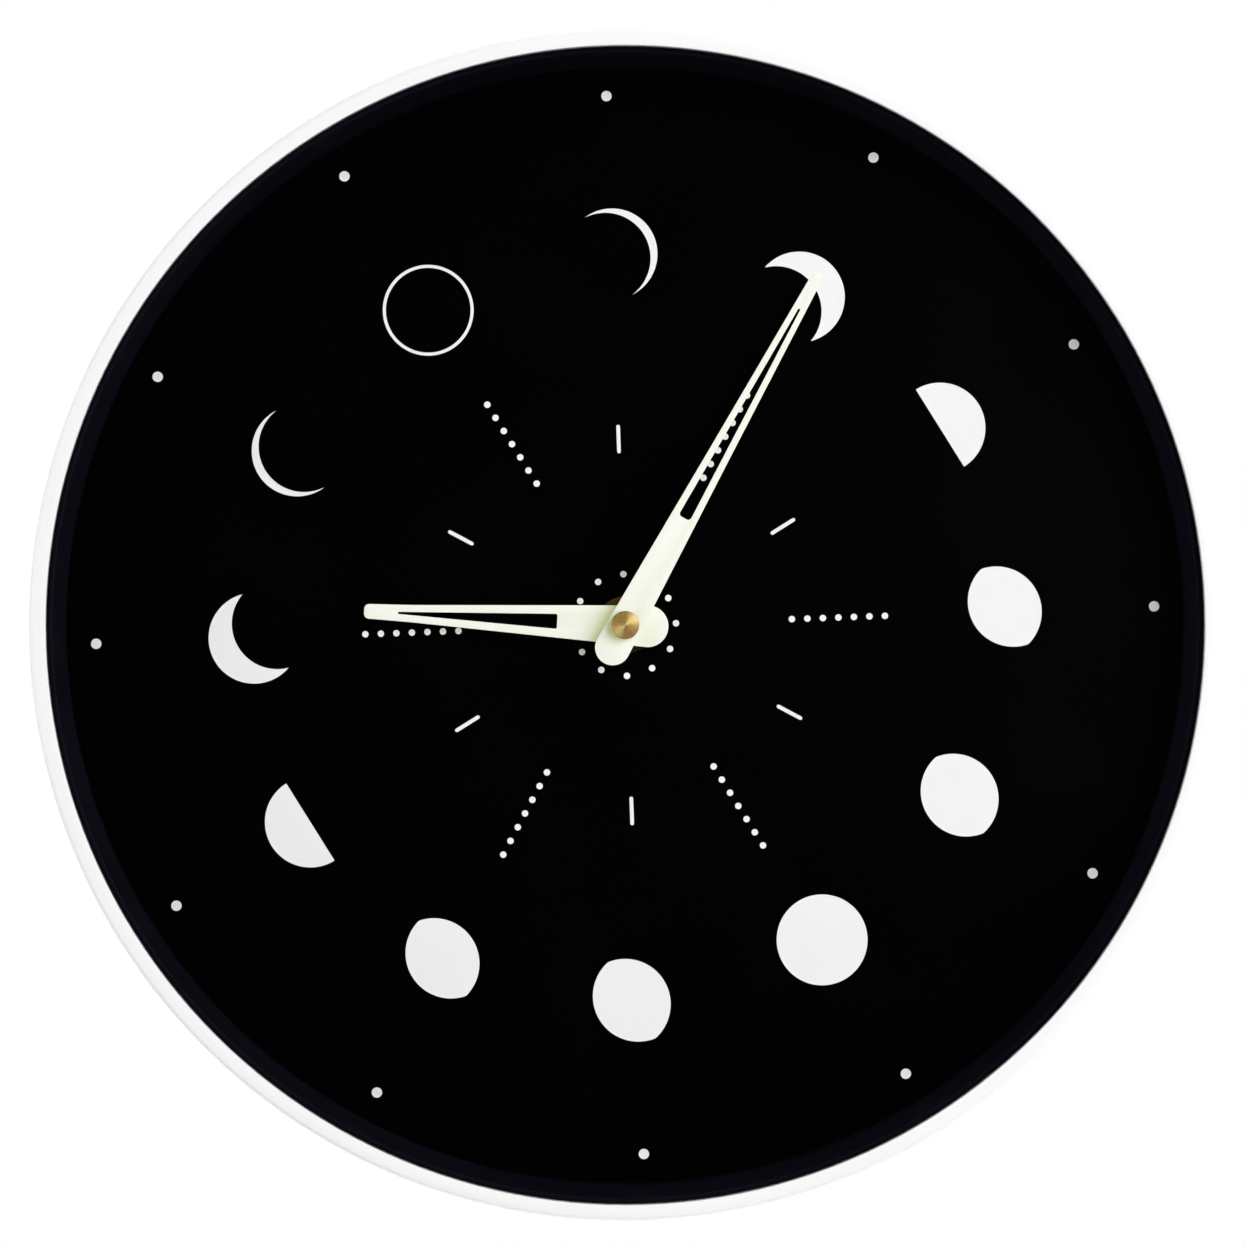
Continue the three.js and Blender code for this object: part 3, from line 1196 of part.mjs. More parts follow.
addPiece("battery", battery(), cellSleeve);
addPiece("positive_contact", leafContact(1, 0, BOARD_RIGHT - STRIP_UNDER_BOARD), steel);
addPiece("negative_contact", leafContact(-1, CONTACT_BOW, -BOARD_LEFT - STRIP_UNDER_BOARD), steel);
addPiece("circuit_board", circuitBoard(), boardGreen);
addPiece("quartz_crystal", quartzCrystal(), steel);
addPiece("timer_chip", timerChip(), darkPlastic);
addPiece("stator", stator(), steel);
addPiece("coil_core", coilCore(), steel);
addPiece("drive_coil", driveCoil(), copper);

assembly.rotation.x = Math.PI / 2;
assembly.position.z = -HOOK_HEIGHT;
const clock = new THREE.Group();
clock.add(assembly);

export default clock;
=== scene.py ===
"""Dresses a round wall clock whose hours are marked by the phases of the moon.

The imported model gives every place. The pieces built here stand where its nodes stand, with finer
edges and finishes, and ride on the same bodies.
"""

from __future__ import annotations

import json
import logging
import math
from collections.abc import Callable, Mapping, Sequence
from dataclasses import dataclass
from enum import Enum
from typing import Any

import bmesh
import bpy
from mathutils import Matrix, Vector

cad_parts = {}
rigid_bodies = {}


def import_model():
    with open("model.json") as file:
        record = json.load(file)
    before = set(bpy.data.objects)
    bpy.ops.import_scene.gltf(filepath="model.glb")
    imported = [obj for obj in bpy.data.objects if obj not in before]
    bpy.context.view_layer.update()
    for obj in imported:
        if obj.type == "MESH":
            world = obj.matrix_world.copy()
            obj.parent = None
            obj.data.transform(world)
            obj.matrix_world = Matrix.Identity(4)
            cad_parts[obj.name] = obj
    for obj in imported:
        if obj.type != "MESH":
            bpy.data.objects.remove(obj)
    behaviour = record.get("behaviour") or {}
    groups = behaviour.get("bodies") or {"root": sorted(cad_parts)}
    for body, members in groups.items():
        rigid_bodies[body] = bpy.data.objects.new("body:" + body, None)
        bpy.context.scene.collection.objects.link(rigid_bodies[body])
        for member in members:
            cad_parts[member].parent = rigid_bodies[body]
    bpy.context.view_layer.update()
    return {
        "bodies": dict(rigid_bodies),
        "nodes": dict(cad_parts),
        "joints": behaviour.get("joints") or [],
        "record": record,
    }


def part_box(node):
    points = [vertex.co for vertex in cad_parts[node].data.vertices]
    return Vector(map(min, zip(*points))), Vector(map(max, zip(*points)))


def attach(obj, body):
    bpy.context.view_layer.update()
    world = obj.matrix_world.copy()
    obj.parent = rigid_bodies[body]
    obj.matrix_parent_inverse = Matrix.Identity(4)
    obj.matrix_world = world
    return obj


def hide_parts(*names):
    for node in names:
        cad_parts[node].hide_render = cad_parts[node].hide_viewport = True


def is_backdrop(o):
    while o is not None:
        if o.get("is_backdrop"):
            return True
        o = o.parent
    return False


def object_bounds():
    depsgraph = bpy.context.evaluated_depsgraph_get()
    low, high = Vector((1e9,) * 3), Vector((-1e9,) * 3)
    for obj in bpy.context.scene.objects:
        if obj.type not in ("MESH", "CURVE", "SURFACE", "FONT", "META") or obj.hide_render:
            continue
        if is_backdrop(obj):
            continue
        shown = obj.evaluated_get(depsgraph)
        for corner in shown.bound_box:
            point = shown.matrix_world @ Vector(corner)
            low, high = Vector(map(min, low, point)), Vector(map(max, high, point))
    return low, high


LOG = logging.getLogger("moon_clock")

# A millimetre in metres. Lengths are in millimetres where nothing else is said.
MM = 0.001
MERGE = 0.002
ON_RING = 0.001
SLACK = 0.3
BUSH_HOLE = 4.2
SCREW_HOLE = 1.75
SCREW_HEAD = 1.6
LUG_PLATE = 2.2
RING_STEPS = 192
FINE_STEPS = 96
ROUND_STEPS = 48
SMALL_STEPS = 24
FLAT_UNDER = math.radians(0.5)
SMOOTH_UNDER = math.radians(32)
SHARP_OVER = math.radians(40)
FACES_OUT = 0.05
PAN_SCREWS = tuple(f"pan_screw_{number}" for number in range(1, 5))
HANGER_SCREWS = tuple(f"hanger_screw_{number}" for number in range(1, 3))
RAYS = ("Camera", "Glossy", "Transmission")
WHITE = (1.0, 1.0, 1.0, 1.0)
NOISE_MEAN = 0.5
# The brass darkened with painted shade takes the record's brass slot.
RECORD_SLOTS = {"aged_brass": "brass"}

Point = tuple[float, float]
Triple = tuple[float, float, float]
Colour = Triple


class Wire:
    """An output socket of a node, which takes part in sums and products."""

    def __init__(self, look: Look, socket: bpy.types.NodeSocket) -> None:
        """Keeps the socket and the node tree that it belongs to."""
        self.look = look
        self.socket = socket

    def maths(self, operation: str, *values: Wire | float) -> Wire:
        """Adds a Math node.

        Args:
            operation: The node's operation.
            values: What its sockets take, in order.

        Returns:
            The node's result.
        """
        return self.look.node("ShaderNodeMath", {"operation": operation}, dict(enumerate(values)))

    def __add__(self, other: Wire | float) -> Wire:
        """Returns the sum."""
        return self.maths("ADD", self, other)

    def __radd__(self, other: float) -> Wire:
        """Returns the sum."""
        return self.maths("ADD", other, self)

    def __sub__(self, other: Wire | float) -> Wire:
        """Returns the difference."""
        return self.maths("SUBTRACT", self, other)

    def __rsub__(self, other: float) -> Wire:
        """Returns the difference from a number."""
        return self.maths("SUBTRACT", other, self)

    def __mul__(self, other: Wire | float) -> Wire:
        """Returns the product."""
        return self.maths("MULTIPLY", self, other)

    def __rmul__(self, other: float) -> Wire:
        """Returns the product."""
        return self.maths("MULTIPLY", other, self)

    def __pow__(self, other: float) -> Wire:
        """Returns the power."""
        return self.maths("POWER", self, other)

    def sine(self) -> Wire:
        """Returns the sine."""
        return self.maths("SINE", self)

    def swing(self, size: float) -> Wire:
        """Returns how far a cloudy pattern departs from its mean, times a size."""
        return size * (self - NOISE_MEAN)

    def between(self, low: float, high: float) -> Wire:
        """Returns how far the value stands from low to high, from 0 to 1."""
        sockets = {"Value": self, "From Min": low, "From Max": high}
        return self.look.node("ShaderNodeMapRange", {"clamp": True}, sockets)


class Look:
    """The nodes of a material or of the world."""

    def __init__(self, tree: bpy.types.NodeTree) -> None:
        """Empties the tree and keeps it."""
        self.tree = tree
        tree.nodes.clear()

    def node(
        self,
        kind: str,
        settings: Mapping[str, Any] | None = None,
        sockets: Mapping[str | int, Any] | None = None,
        output: str | int = 0,
    ) -> Wire:
        """Adds a node.

        Args:
            kind: The node's type.
            settings: Its own settings, which come first.
            sockets: Values or wires for its inputs, by name, identifier or number.
            output: The output that is wanted.

        Returns:
            That output.
        """
        made = self.tree.nodes.new(kind)
        for key, value in (settings or {}).items():
            setattr(made, key, value)
        for key, value in (sockets or {}).items():
            found = [s for i, s in enumerate(made.inputs) if key in (i, s.identifier, s.name)]
            if isinstance(value, Wire):
                self.tree.links.new(value.socket, found[0])
            else:
                found[0].default_value = value
        found = [s for i, s in enumerate(made.outputs) if output in (i, s.identifier, s.name)]
        return Wire(self, found[0])

    def place(self, centre: Vector | None = None) -> Wire:
        """Gives the piece's own coordinates.

        Args:
            centre: The point that they are measured from, in metres.

        Returns:
            The coordinates.
        """
        here = self.node("ShaderNodeTexCoord", output="Object")
        if centre is None:
            return here
        return self.node("ShaderNodeMapping", {}, {"Vector": here, "Location": tuple(-centre)})

    def noise(self, here: Wire, grain: float, detail: float = 3.0, rough: float = 0.5) -> Wire:
        """Adds a cloudy pattern.

        Args:
            here: The coordinates.
            grain: The size of its spots, in millimetres.
            detail: How many finer layers it has.
            rough: How strong they are.

        Returns:
            Its value, near NOISE_MEAN on the whole.
        """
        sockets = {"Vector": here, "Scale": 1 / (grain * MM), "Detail": detail, "Roughness": rough}
        return self.node("ShaderNodeTexNoise", {}, sockets)

    def mix(self, share: Wire, first: Colour, second: Colour) -> Wire:
        """Returns the first colour where the share is 0 and the second where it is 1."""
        sockets = {"Factor_Float": share, "A_Color": (*first, 1.0), "B_Color": (*second, 1.0)}
        return self.node("ShaderNodeMix", {"data_type": "RGBA"}, sockets, "Result_Color")

    def coordinate(self, here: Wire, letter: str) -> Wire:
        """Returns the X, Y or Z of the coordinates."""
        return self.node("ShaderNodeSeparateXYZ", {}, {"Vector": here}, letter)

    def bump(self, height: Wire, depth: float) -> Wire:
        """Returns the normal of a relief whose height is given, and whose depth is in millimetres."""
        sockets = {"Height": height, "Distance": depth * MM, "Strength": 1.0}
        return self.node("ShaderNodeBump", {}, sockets)

    def shade(self, **sockets: Any) -> None:
        """Ends the tree in one Principled shader.

        Args:
            sockets: Its inputs, with words joined by underlines.
        """
        named = {key.replace("_", " "): value for key, value in sockets.items()}
        shader = self.node("ShaderNodeBsdfPrincipled", {}, named)
        self.node_out("ShaderNodeOutputMaterial", shader)

    def seen(self) -> Wire:
        """Returns 1 for the rays of the eye, of gloss and of glass, and 0 for the others."""
        rays = [self.node("ShaderNodeLightPath", output=f"Is {kind} Ray") for kind in RAYS]
        return rays[0].maths("MAXIMUM", rays[0].maths("MAXIMUM", rays[0], rays[1]), rays[2])

    def node_out(self, kind: str, shader: Wire) -> None:
        """Adds the output node of a kind and feeds it the shader."""
        made = self.tree.nodes.new(kind)
        self.tree.links.new(shader.socket, made.inputs["Surface"])


@dataclass(frozen=True)
class Finish:
    """How one material slot of the clock looks."""

    slot: str

    def material(self) -> bpy.types.Material:
        """Makes the material.

        Returns:
            The material, named for its slot.
        """
        made = bpy.data.materials.new(self.slot)
        made.use_nodes = True
        self.dress(Look(made.node_tree))
        return made

    def dress(self, look: Look) -> None:
        """Builds the nodes."""
        raise NotImplementedError


@dataclass(frozen=True)
class MouldedPlastic(Finish):
    """Injection-moulded plastic with a fine even texture and a little flow in its colour."""

    colour: Colour
    shade: Colour
    rough: float
    grain: float
    relief: float
    specular: float = 0.5
    flow: float = 38.0

    def dress(self, look: Look) -> None:
        """Builds the nodes.

        Args:
            look: The material's nodes.
        """
        here = look.place()
        flow = look.noise(here, self.flow, 4.0)
        fine = look.noise(here, self.grain, 2.0)
        look.shade(
            Base_Color=look.mix((flow + 0.25 * fine).between(0.35, 0.95), self.colour, self.shade),
            Roughness=self.rough + flow.swing(0.12) + fine.swing(0.1),
            Specular_IOR_Level=self.specular,
            Normal=look.bump(fine, self.relief),
        )


@dataclass(frozen=True)
class ClearAcrylic(Finish):
    """A thin clear sheet, polished, with the faintest unevenness."""

    colour: Colour = (0.002, 0.002, 0.002)
    shade: Colour = (0.003, 0.003, 0.003)
    rough: float = 0.02
    haze: float = 6.0
    wave: float = 60.0
    relief: float = 0.02
    specular: float = 0.02
    opacity: float = 0.04

    def dress(self, look: Look) -> None:
        """Builds the nodes.

        Args:
            look: The material's nodes.
        """
        here = look.place()
        wave = look.noise(here, self.wave, 1.0)
        haze = look.noise(here, self.haze, 4.0)
        look.shade(
            Base_Color=look.mix(haze, self.colour, self.shade),
            Roughness=self.rough + 0.03 * haze,
            Specular_IOR_Level=self.specular,
            Alpha=self.opacity,
            Normal=look.bump(wave, self.relief),
        )


@dataclass(frozen=True)
class DialCoating(Finish):
    """Deep matt black coating with a soft pressed grain."""

    colour: Colour = (0.0001, 0.0001, 0.0001)
    shade: Colour = (0.0006, 0.0006, 0.0008)
    rough: float = 0.5
    grain: float = 2.4
    cloud: float = 30.0
    relief: float = 0.06
    specular: float = 0.004

    def dress(self, look: Look) -> None:
        """Builds the nodes.

        Args:
            look: The material's nodes.
        """
        here = look.place()
        grain = look.noise(here, self.grain, 3.0, 0.6)
        cloud = look.noise(here, self.cloud)
        look.shade(
            Base_Color=look.mix((0.6 * cloud + 0.4 * grain).between(0.35, 0.7), self.colour, self.shade),
            Roughness=self.rough + grain.swing(0.2),
            Specular_IOR_Level=self.specular,
            Normal=look.bump(grain, self.relief),
        )


@dataclass(frozen=True)
class PaintFilm(Finish):
    """Opaque paint or ink in a thin even film, with an optional painted glow that shows in shade though it
    is no lamp.
    """

    colour: Colour
    shade: Colour
    painted_glow: Colour = (0.0, 0.0, 0.0)
    rough: float = 0.55
    grain: float = 0.5
    cloud: float = 12.0
    relief: float = 0.012
    specular: float = 0.2

    def dress(self, look: Look) -> None:
        """Builds the nodes.

        Args:
            look: The material's nodes.
        """
        here = look.place()
        film = look.noise(here, self.grain, 3.0, 0.6)
        cloud = look.noise(here, self.cloud)
        look.shade(
            Base_Color=look.mix((0.5 * film + 0.5 * cloud).between(0.35, 0.65), self.colour, self.shade),
            Roughness=self.rough + film.swing(0.15),
            Specular_IOR_Level=self.specular,
            # Painted glow: an emission that lifts the film's shaded parts.
            Emission_Color=(*self.painted_glow, 1.0),
            Emission_Strength=1.0 if max(self.painted_glow) > 0 else 0.0,
            Normal=look.bump(film, self.relief),
        )


@dataclass(frozen=True)
class TurnedMetal(Finish):
    """Metal faced on a lathe: fine rings about the hand axis, with a painted highlight and painted shade in
    sectors across them.
    """

    colour: Colour
    shade: Colour
    axis: Vector
    pitch: float = 0.16
    rough: float = 0.38
    # The angle of the painted highlight's brightest sector, and how many such sectors go round.
    highlight_lean: float = math.radians(38)
    highlight_sides: int = 2
    wander: float = 1.4
    tarnish: float = 0.7
    relief: float = 0.012

    def dress(self, look: Look) -> None:
        """Builds the nodes.

        Args:
            look: The material's nodes.
        """
        here = look.place(self.axis)
        across = look.coordinate(here, "X")
        upward = look.coordinate(here, "Z")
        radius = (across * across + upward * upward) ** 0.5
        wander = look.noise(here, self.wander, 2.0)
        rings = (radius * (math.tau / (self.pitch * MM)) + 4.0 * wander).sine()
        angle = upward.maths("ARCTAN2", upward, across)
        # Painted highlight and painted shade: the colour turns lighter and darker in sectors round the axis.
        painted_highlight = (self.highlight_sides * angle + (math.pi / 2 - self.highlight_sides * self.highlight_lean)).sine()
        tarnish = look.noise(here, self.tarnish, 4.0, 0.6)
        painted_shade_share = 0.85 - 0.75 * painted_highlight.between(0.1, 1.0)
        share = (painted_shade_share + tarnish.swing(0.6) + 0.12 * rings).between(0.0, 1.0)
        look.shade(
            Base_Color=look.mix(share, self.colour, self.shade),
            Metallic=1.0,
            Roughness=self.rough + tarnish.swing(0.15),
            Normal=look.bump(0.5 + 0.5 * rings, self.relief),
        )


@dataclass(frozen=True)
class RolledMetal(Finish):
    """Sheet or drawn metal with a fine one-way grain and patchy plating."""

    colour: Colour
    shade: Colour
    rough: float = 0.34
    grain: float = 0.18
    stretch: Triple = (0.06, 1.0, 1.0)
    patch: float = 5.0
    relief: float = 0.008

    def dress(self, look: Look) -> None:
        """Builds the nodes.

        Args:
            look: The material's nodes.
        """
        here = look.place()
        drawn = look.node("ShaderNodeMapping", {}, {"Vector": here, "Scale": self.stretch})
        lines = look.noise(drawn, self.grain, 3.0, 0.6)
        patch = look.noise(here, self.patch, 4.0, 0.6)
        look.shade(
            Base_Color=look.mix((0.6 * patch + 0.4 * lines).between(0.3, 0.7), self.colour, self.shade),
            Metallic=1.0,
            Roughness=self.rough + patch.swing(0.2) + lines.swing(0.1),
            Normal=look.bump(lines, self.relief),
        )


@dataclass(frozen=True)
class WoundCopper(Finish):
    """Enamelled wire wound close along the coil, with painted shade in the grooves between the turns."""

    colour: Colour = (0.62, 0.25, 0.09)
    shade: Colour = (0.22, 0.07, 0.025)
    rough: float = 0.3
    pitch: float = 0.22
    tint: float = 1.2
    relief: float = 0.06

    def dress(self, look: Look) -> None:
        """Builds the nodes.

        Args:
            look: The material's nodes.
        """
        here = look.place()
        turns = (look.coordinate(here, "X") * (math.tau / (self.pitch * MM))).sine()
        tint = look.noise(here, self.tint)
        # Painted shade: the colour darkens where the relief sinks between the turns.
        share = (0.45 - 0.35 * turns + tint.swing(0.4)).between(0.0, 1.0)
        look.shade(
            Base_Color=look.mix(share, self.colour, self.shade),
            Metallic=0.85,
            Roughness=self.rough + 0.2 * tint,
            Normal=look.bump(0.5 + 0.5 * turns, self.relief),
        )


class Form:
    """A shape in the making, in millimetres: x right and y up from the hand axis, z out from the wall."""

    def __init__(self) -> None:
        """Starts with nothing."""
        self.bm = bmesh.new()

    def turn(self, profile: Sequence[Point], steps: int = RING_STEPS) -> Form:
        """Spins a profile about the hand axis.

        Args:
            profile: Radii and heights, from axis to axis, or closing on themselves.
            steps: The number of steps round.

        Returns:
            This form.
        """
        points = [self.bm.verts.new((radius, 0.0, height)) for radius, height in profile]
        pairs = list(zip(points, points[1:]))
        if profile[0][0] > 0:
            pairs.append((points[-1], points[0]))
        edges = [self.bm.edges.new(pair) for pair in pairs]
        bmesh.ops.spin(
            self.bm,
            geom=[*points, *edges],
            cent=(0.0, 0.0, 0.0),
            axis=(0.0, 0.0, 1.0),
            angle=math.tau,
            steps=steps,
            use_merge=True,
        )
        return self.close()

    def close(self) -> Form:
        """Merges doubled points and turns the faces outwards.

        Returns:
            This form.
        """
        bmesh.ops.remove_doubles(self.bm, verts=self.bm.verts, dist=MERGE)
        bmesh.ops.recalc_face_normals(self.bm, faces=self.bm.faces)
        return self

    def round_rings(self, rings: Sequence[Point], width: float, segments: int) -> Form:
        """Rounds turned edges.

        Args:
            rings: Their radii and heights.
            width: How much is taken off.
            segments: The steps of the round.

        Returns:
            This form.
        """

        def near(point: bmesh.types.BMVert, ring: Point) -> bool:
            """Says whether a point lies on a ring."""
            aside, above = point.co.xy.length - ring[0], point.co.z - ring[1]
            return abs(aside) < ON_RING and abs(above) < ON_RING

        def on_ring(edge: bmesh.types.BMEdge) -> bool:
            """Says whether an edge lies along one of the rings."""
            return any(all(near(point, ring) for point in edge.verts) for ring in rings)

        return self.soften(on_ring, width, segments)

    def soften(self, choose: Callable[[bmesh.types.BMEdge], bool], width: float, segments: int) -> Form:
        """Rounds the edges that are chosen.

        Args:
            choose: Says whether an edge is rounded.
            width: How much is taken off.
            segments: The steps of the round.

        Returns:
            This form.
        """
        bmesh.ops.bevel(
            self.bm,
            geom=[e for e in self.bm.edges if choose(e)],
            offset=width,
            offset_type="OFFSET",
            segments=segments,
            profile=0.5,
            affect="EDGES",
            material=-1,
            clamp_overlap=True,
        )
        bmesh.ops.remove_doubles(self.bm, verts=self.bm.verts, dist=MERGE)
        bmesh.ops.dissolve_degenerate(self.bm, edges=self.bm.edges, dist=MERGE)
        return self

    def soften_face(self, height: float, width: float) -> Form:
        """Rounds the rim of a flat face.

        Args:
            height: The height of the face.
            width: How much is taken off.

        Returns:
            This form.
        """

        def on_rim(edge: bmesh.types.BMEdge) -> bool:
            """Says whether an edge bounds that face."""
            return self.is_sharp(edge) and all(abs(v.co.z - height) < MERGE for v in edge.verts)

        return self.soften(on_rim, width, 2)

    def soften_all(self, width: float, segments: int = 2, least: float = 0.0) -> Form:
        """Rounds every sharp edge of at least a length."""
        return self.soften(lambda e: self.is_sharp(e) and e.calc_length() >= least, width, segments)

    @staticmethod
    def is_sharp(edge: bmesh.types.BMEdge) -> bool:
        """Says whether two faces meet sharply at an edge."""
        return len(edge.link_faces) == 2 and edge.calc_face_angle() > SHARP_OVER

    def arc(self, centre: Point, radius: float, start: float, sweep: float, steps: int) -> Form:
        """Draws an arc of an outline.

        Args:
            centre: Its centre.
            radius: Its radius.
            start: The direction of its first point.
            sweep: How far it turns, anticlockwise.
            steps: The number of its steps.

        Returns:
            This form.
        """
        first = (centre[0] + radius * math.cos(start), centre[1] + radius * math.sin(start), 0.0)
        bmesh.ops.spin(
            self.bm,
            geom=[self.bm.verts.new(first)],
            cent=(*centre, 0.0),
            axis=(0.0, 0.0, 1.0),
            angle=sweep,
            steps=steps,
        )
        return self

    def circle(self, centre: Point, radius: float, steps: int = ROUND_STEPS) -> Form:
        """Draws a whole circle of an outline."""
        bmesh.ops.create_circle(
            self.bm, segments=steps, radius=radius, matrix=Matrix.Translation((*centre, 0.0))
        )
        return self

    def lines(self, *points: Point) -> Form:
        """Draws the straight lines of an outline.

        Args:
            points: The corners, in order.

        Returns:
            This form.
        """
        corners = [self.bm.verts.new((*point, 0.0)) for point in points]
        for pair in zip(corners, corners[1:]):
            self.bm.edges.new(pair)
        return self

    def loop(self, *points: Point) -> Form:
        """Draws straight lines that close on themselves."""
        return self.lines(*points, points[0])

    def fill(self, back: float, front: float) -> Form:
        """Fills the outlines that are drawn and gives the plate its thickness.

        Args:
            back: The height of its back.
            front: The height of its front.

        Returns:
            This form.
        """
        bmesh.ops.remove_doubles(self.bm, verts=self.bm.verts, dist=MERGE)
        wires = [e for e in self.bm.edges if not e.link_faces]
        made = bmesh.ops.triangle_fill(self.bm, use_beauty=True, edges=wires, normal=(0, 0, 1))
        sheet = [f for f in made["geom"] if isinstance(f, bmesh.types.BMFace)]
        flat = list({v for f in sheet for v in f.verts})
        bmesh.ops.translate(self.bm, verts=flat, vec=(0.0, 0.0, back))
        grown = bmesh.ops.extrude_face_region(self.bm, geom=sheet)
        raised = [v for v in grown["geom"] if isinstance(v, bmesh.types.BMVert)]
        bmesh.ops.translate(self.bm, verts=raised, vec=(0.0, 0.0, front - back))
        bmesh.ops.recalc_face_normals(self.bm, faces=self.bm.faces)
        return self

    def block(self, low: Sequence[float], high: Sequence[float]) -> Form:
        """Adds a rectangular block.

        Args:
            low: Its lowest corner.
            high: Its highest corner.

        Returns:
            This form.
        """
        size = [h - l for l, h in zip(low, high)]
        middle = [(h + l) / 2 for l, h in zip(low, high)]
        place = Matrix.Translation(middle) @ Matrix.Diagonal((*size, 1.0))
        bmesh.ops.create_cube(self.bm, size=1.0, matrix=place)
        return self

    def add(self, other: Form, turn: float = 0.0, shift: Sequence[float] = (0.0, 0.0, 0.0)) -> Form:
        """Joins a copy of another form to this one.

        Args:
            other: The other form.
            turn: How far the copy turns about the hand axis, anticlockwise.
            shift: How far it then moves.

        Returns:
            This form.
        """
        carried = bpy.data.meshes.new("carried")
        other.bm.to_mesh(carried)
        carried.transform(Matrix.Translation(shift) @ Matrix.Rotation(turn, 4, "Z"))
        self.bm.from_mesh(carried)
        bpy.data.meshes.remove(carried)
        return self

    def tint(self, number: int) -> Form:
        """Gives every face a material.

        Args:
            number: The material's number among the piece's own.

        Returns:
            This form.
        """
        for face in self.bm.faces:
            face.material_index = number
        return self

    def tint_front(self, number: int) -> Form:
        """Gives the faces that look out from the wall a material.

        Args:
            number: The material's number among the piece's own.

        Returns:
            This form.
        """
        self.bm.normal_update()
        for face in self.bm.faces:
            if face.normal.z > FACES_OUT:
                face.material_index = number
        return self


@dataclass
class Bench:
    """The frame that pieces are fitted to, and the finishes that they take."""

    frame: dict[str, Any]
    finishes: dict[str, bpy.types.Material]

    @staticmethod
    def axis() -> Vector:
        """Returns the point where the hand axis meets the wall, in metres."""
        low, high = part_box("dial")
        return Vector((0.0, 0.0, (low.z + high.z) / 2))

    @staticmethod
    def span(node: str) -> Point:
        """Returns the heights of a node's back and front above the wall, in millimetres."""
        low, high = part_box(node)
        return -high.y / MM, -low.y / MM

    @staticmethod
    def reach(node: str) -> float:
        """Returns how far a node reaches to the right of the hand axis, in millimetres."""
        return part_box(node)[1].x / MM

    @classmethod
    def centre(cls, node: str) -> Point:
        """Returns the middle of a node, seen from the front, in millimetres from the hand axis."""
        low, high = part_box(node)
        return (low.x + high.x) / 2 / MM, ((low.z + high.z) / 2 - cls.axis().z) / MM

    @classmethod
    def lug_front(cls) -> float:
        """Returns the height of the fronts of the lugs that the pan's screws pass through."""
        return cls.span(PAN_SCREWS[0])[0] + SCREW_HEAD + SLACK + LUG_PLATE

    def piece(self, form: Form, name: str, slots: Sequence[str], body: str, node: str) -> None:
        """Makes a form a piece of the clock.

        Args:
            form: The shape.
            name: The piece's name.
            slots: The material slots of its finishes, in the order of their numbers.
            body: The body that it rides on.
            node: The node that it stands for.
        """
        mesh = bpy.data.meshes.new(name)
        form.bm.to_mesh(mesh)
        form.bm.free()
        mesh.transform(self.upright())
        mesh.shade_smooth()
        mesh.set_sharp_from_angle(angle=SMOOTH_UNDER)
        for slot in slots:
            mesh.materials.append(self.finishes[slot])
        made = bpy.data.objects.new(name, mesh)
        bpy.context.scene.collection.objects.link(made)
        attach(made, body)
        slot = RECORD_SLOTS.get(slots[0], slots[0])
        slot in self.slots()
        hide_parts(node)
        LOG.info("%s: %d faces on %s", name, len(mesh.polygons), body)

    def copy_of(self, node: str) -> Form:
        """Copies a node's shape, with its doubled points merged and its flat faces whole.

        Args:
            node: The node's name.

        Returns:
            The copy.
        """
        form = Form()
        form.bm.from_mesh(self.frame["nodes"][node].data)
        bmesh.ops.transform(form.bm, matrix=self.upright().inverted(), verts=form.bm.verts)
        bmesh.ops.remove_doubles(form.bm, verts=form.bm.verts, dist=MERGE)
        points, edges = form.bm.verts, form.bm.edges
        bmesh.ops.dissolve_limit(form.bm, angle_limit=FLAT_UNDER, verts=points, edges=edges)
        return form

    def upright(self) -> Matrix:
        """Returns the change from the dial's millimetres to the row's frame."""
        turn = Matrix.Rotation(math.pi / 2, 4, "X")
        return Matrix.Translation(self.axis()) @ turn @ Matrix.Scale(MM, 4)

    def slot_of(self, node: str) -> str:
        """Returns the material slot of a node."""
        return next(p["material_slot"] for p in self.frame["record"]["subparts"] if p["node"] == node)

    def body_of(self, node: str) -> str:
        """Returns the body that a node belongs to."""
        bodies = self.frame["record"]["behaviour"]["bodies"]
        return next(name for name, nodes in bodies.items() if node in nodes)

    def slots(self) -> list[str]:
        """Returns the names of the record's material slots."""
        return [material["slot"] for material in self.frame["record"]["materials"]]

    def dress_rest(self) -> None:
        """Gives every node that still shows the finish of its slot."""
        for name, node in self.frame["nodes"].items():
            if not node.hide_render:
                node.data.materials.clear()
                node.data.materials.append(self.finishes[self.slot_of(name)])
                LOG.info("%s keeps its shape", name)


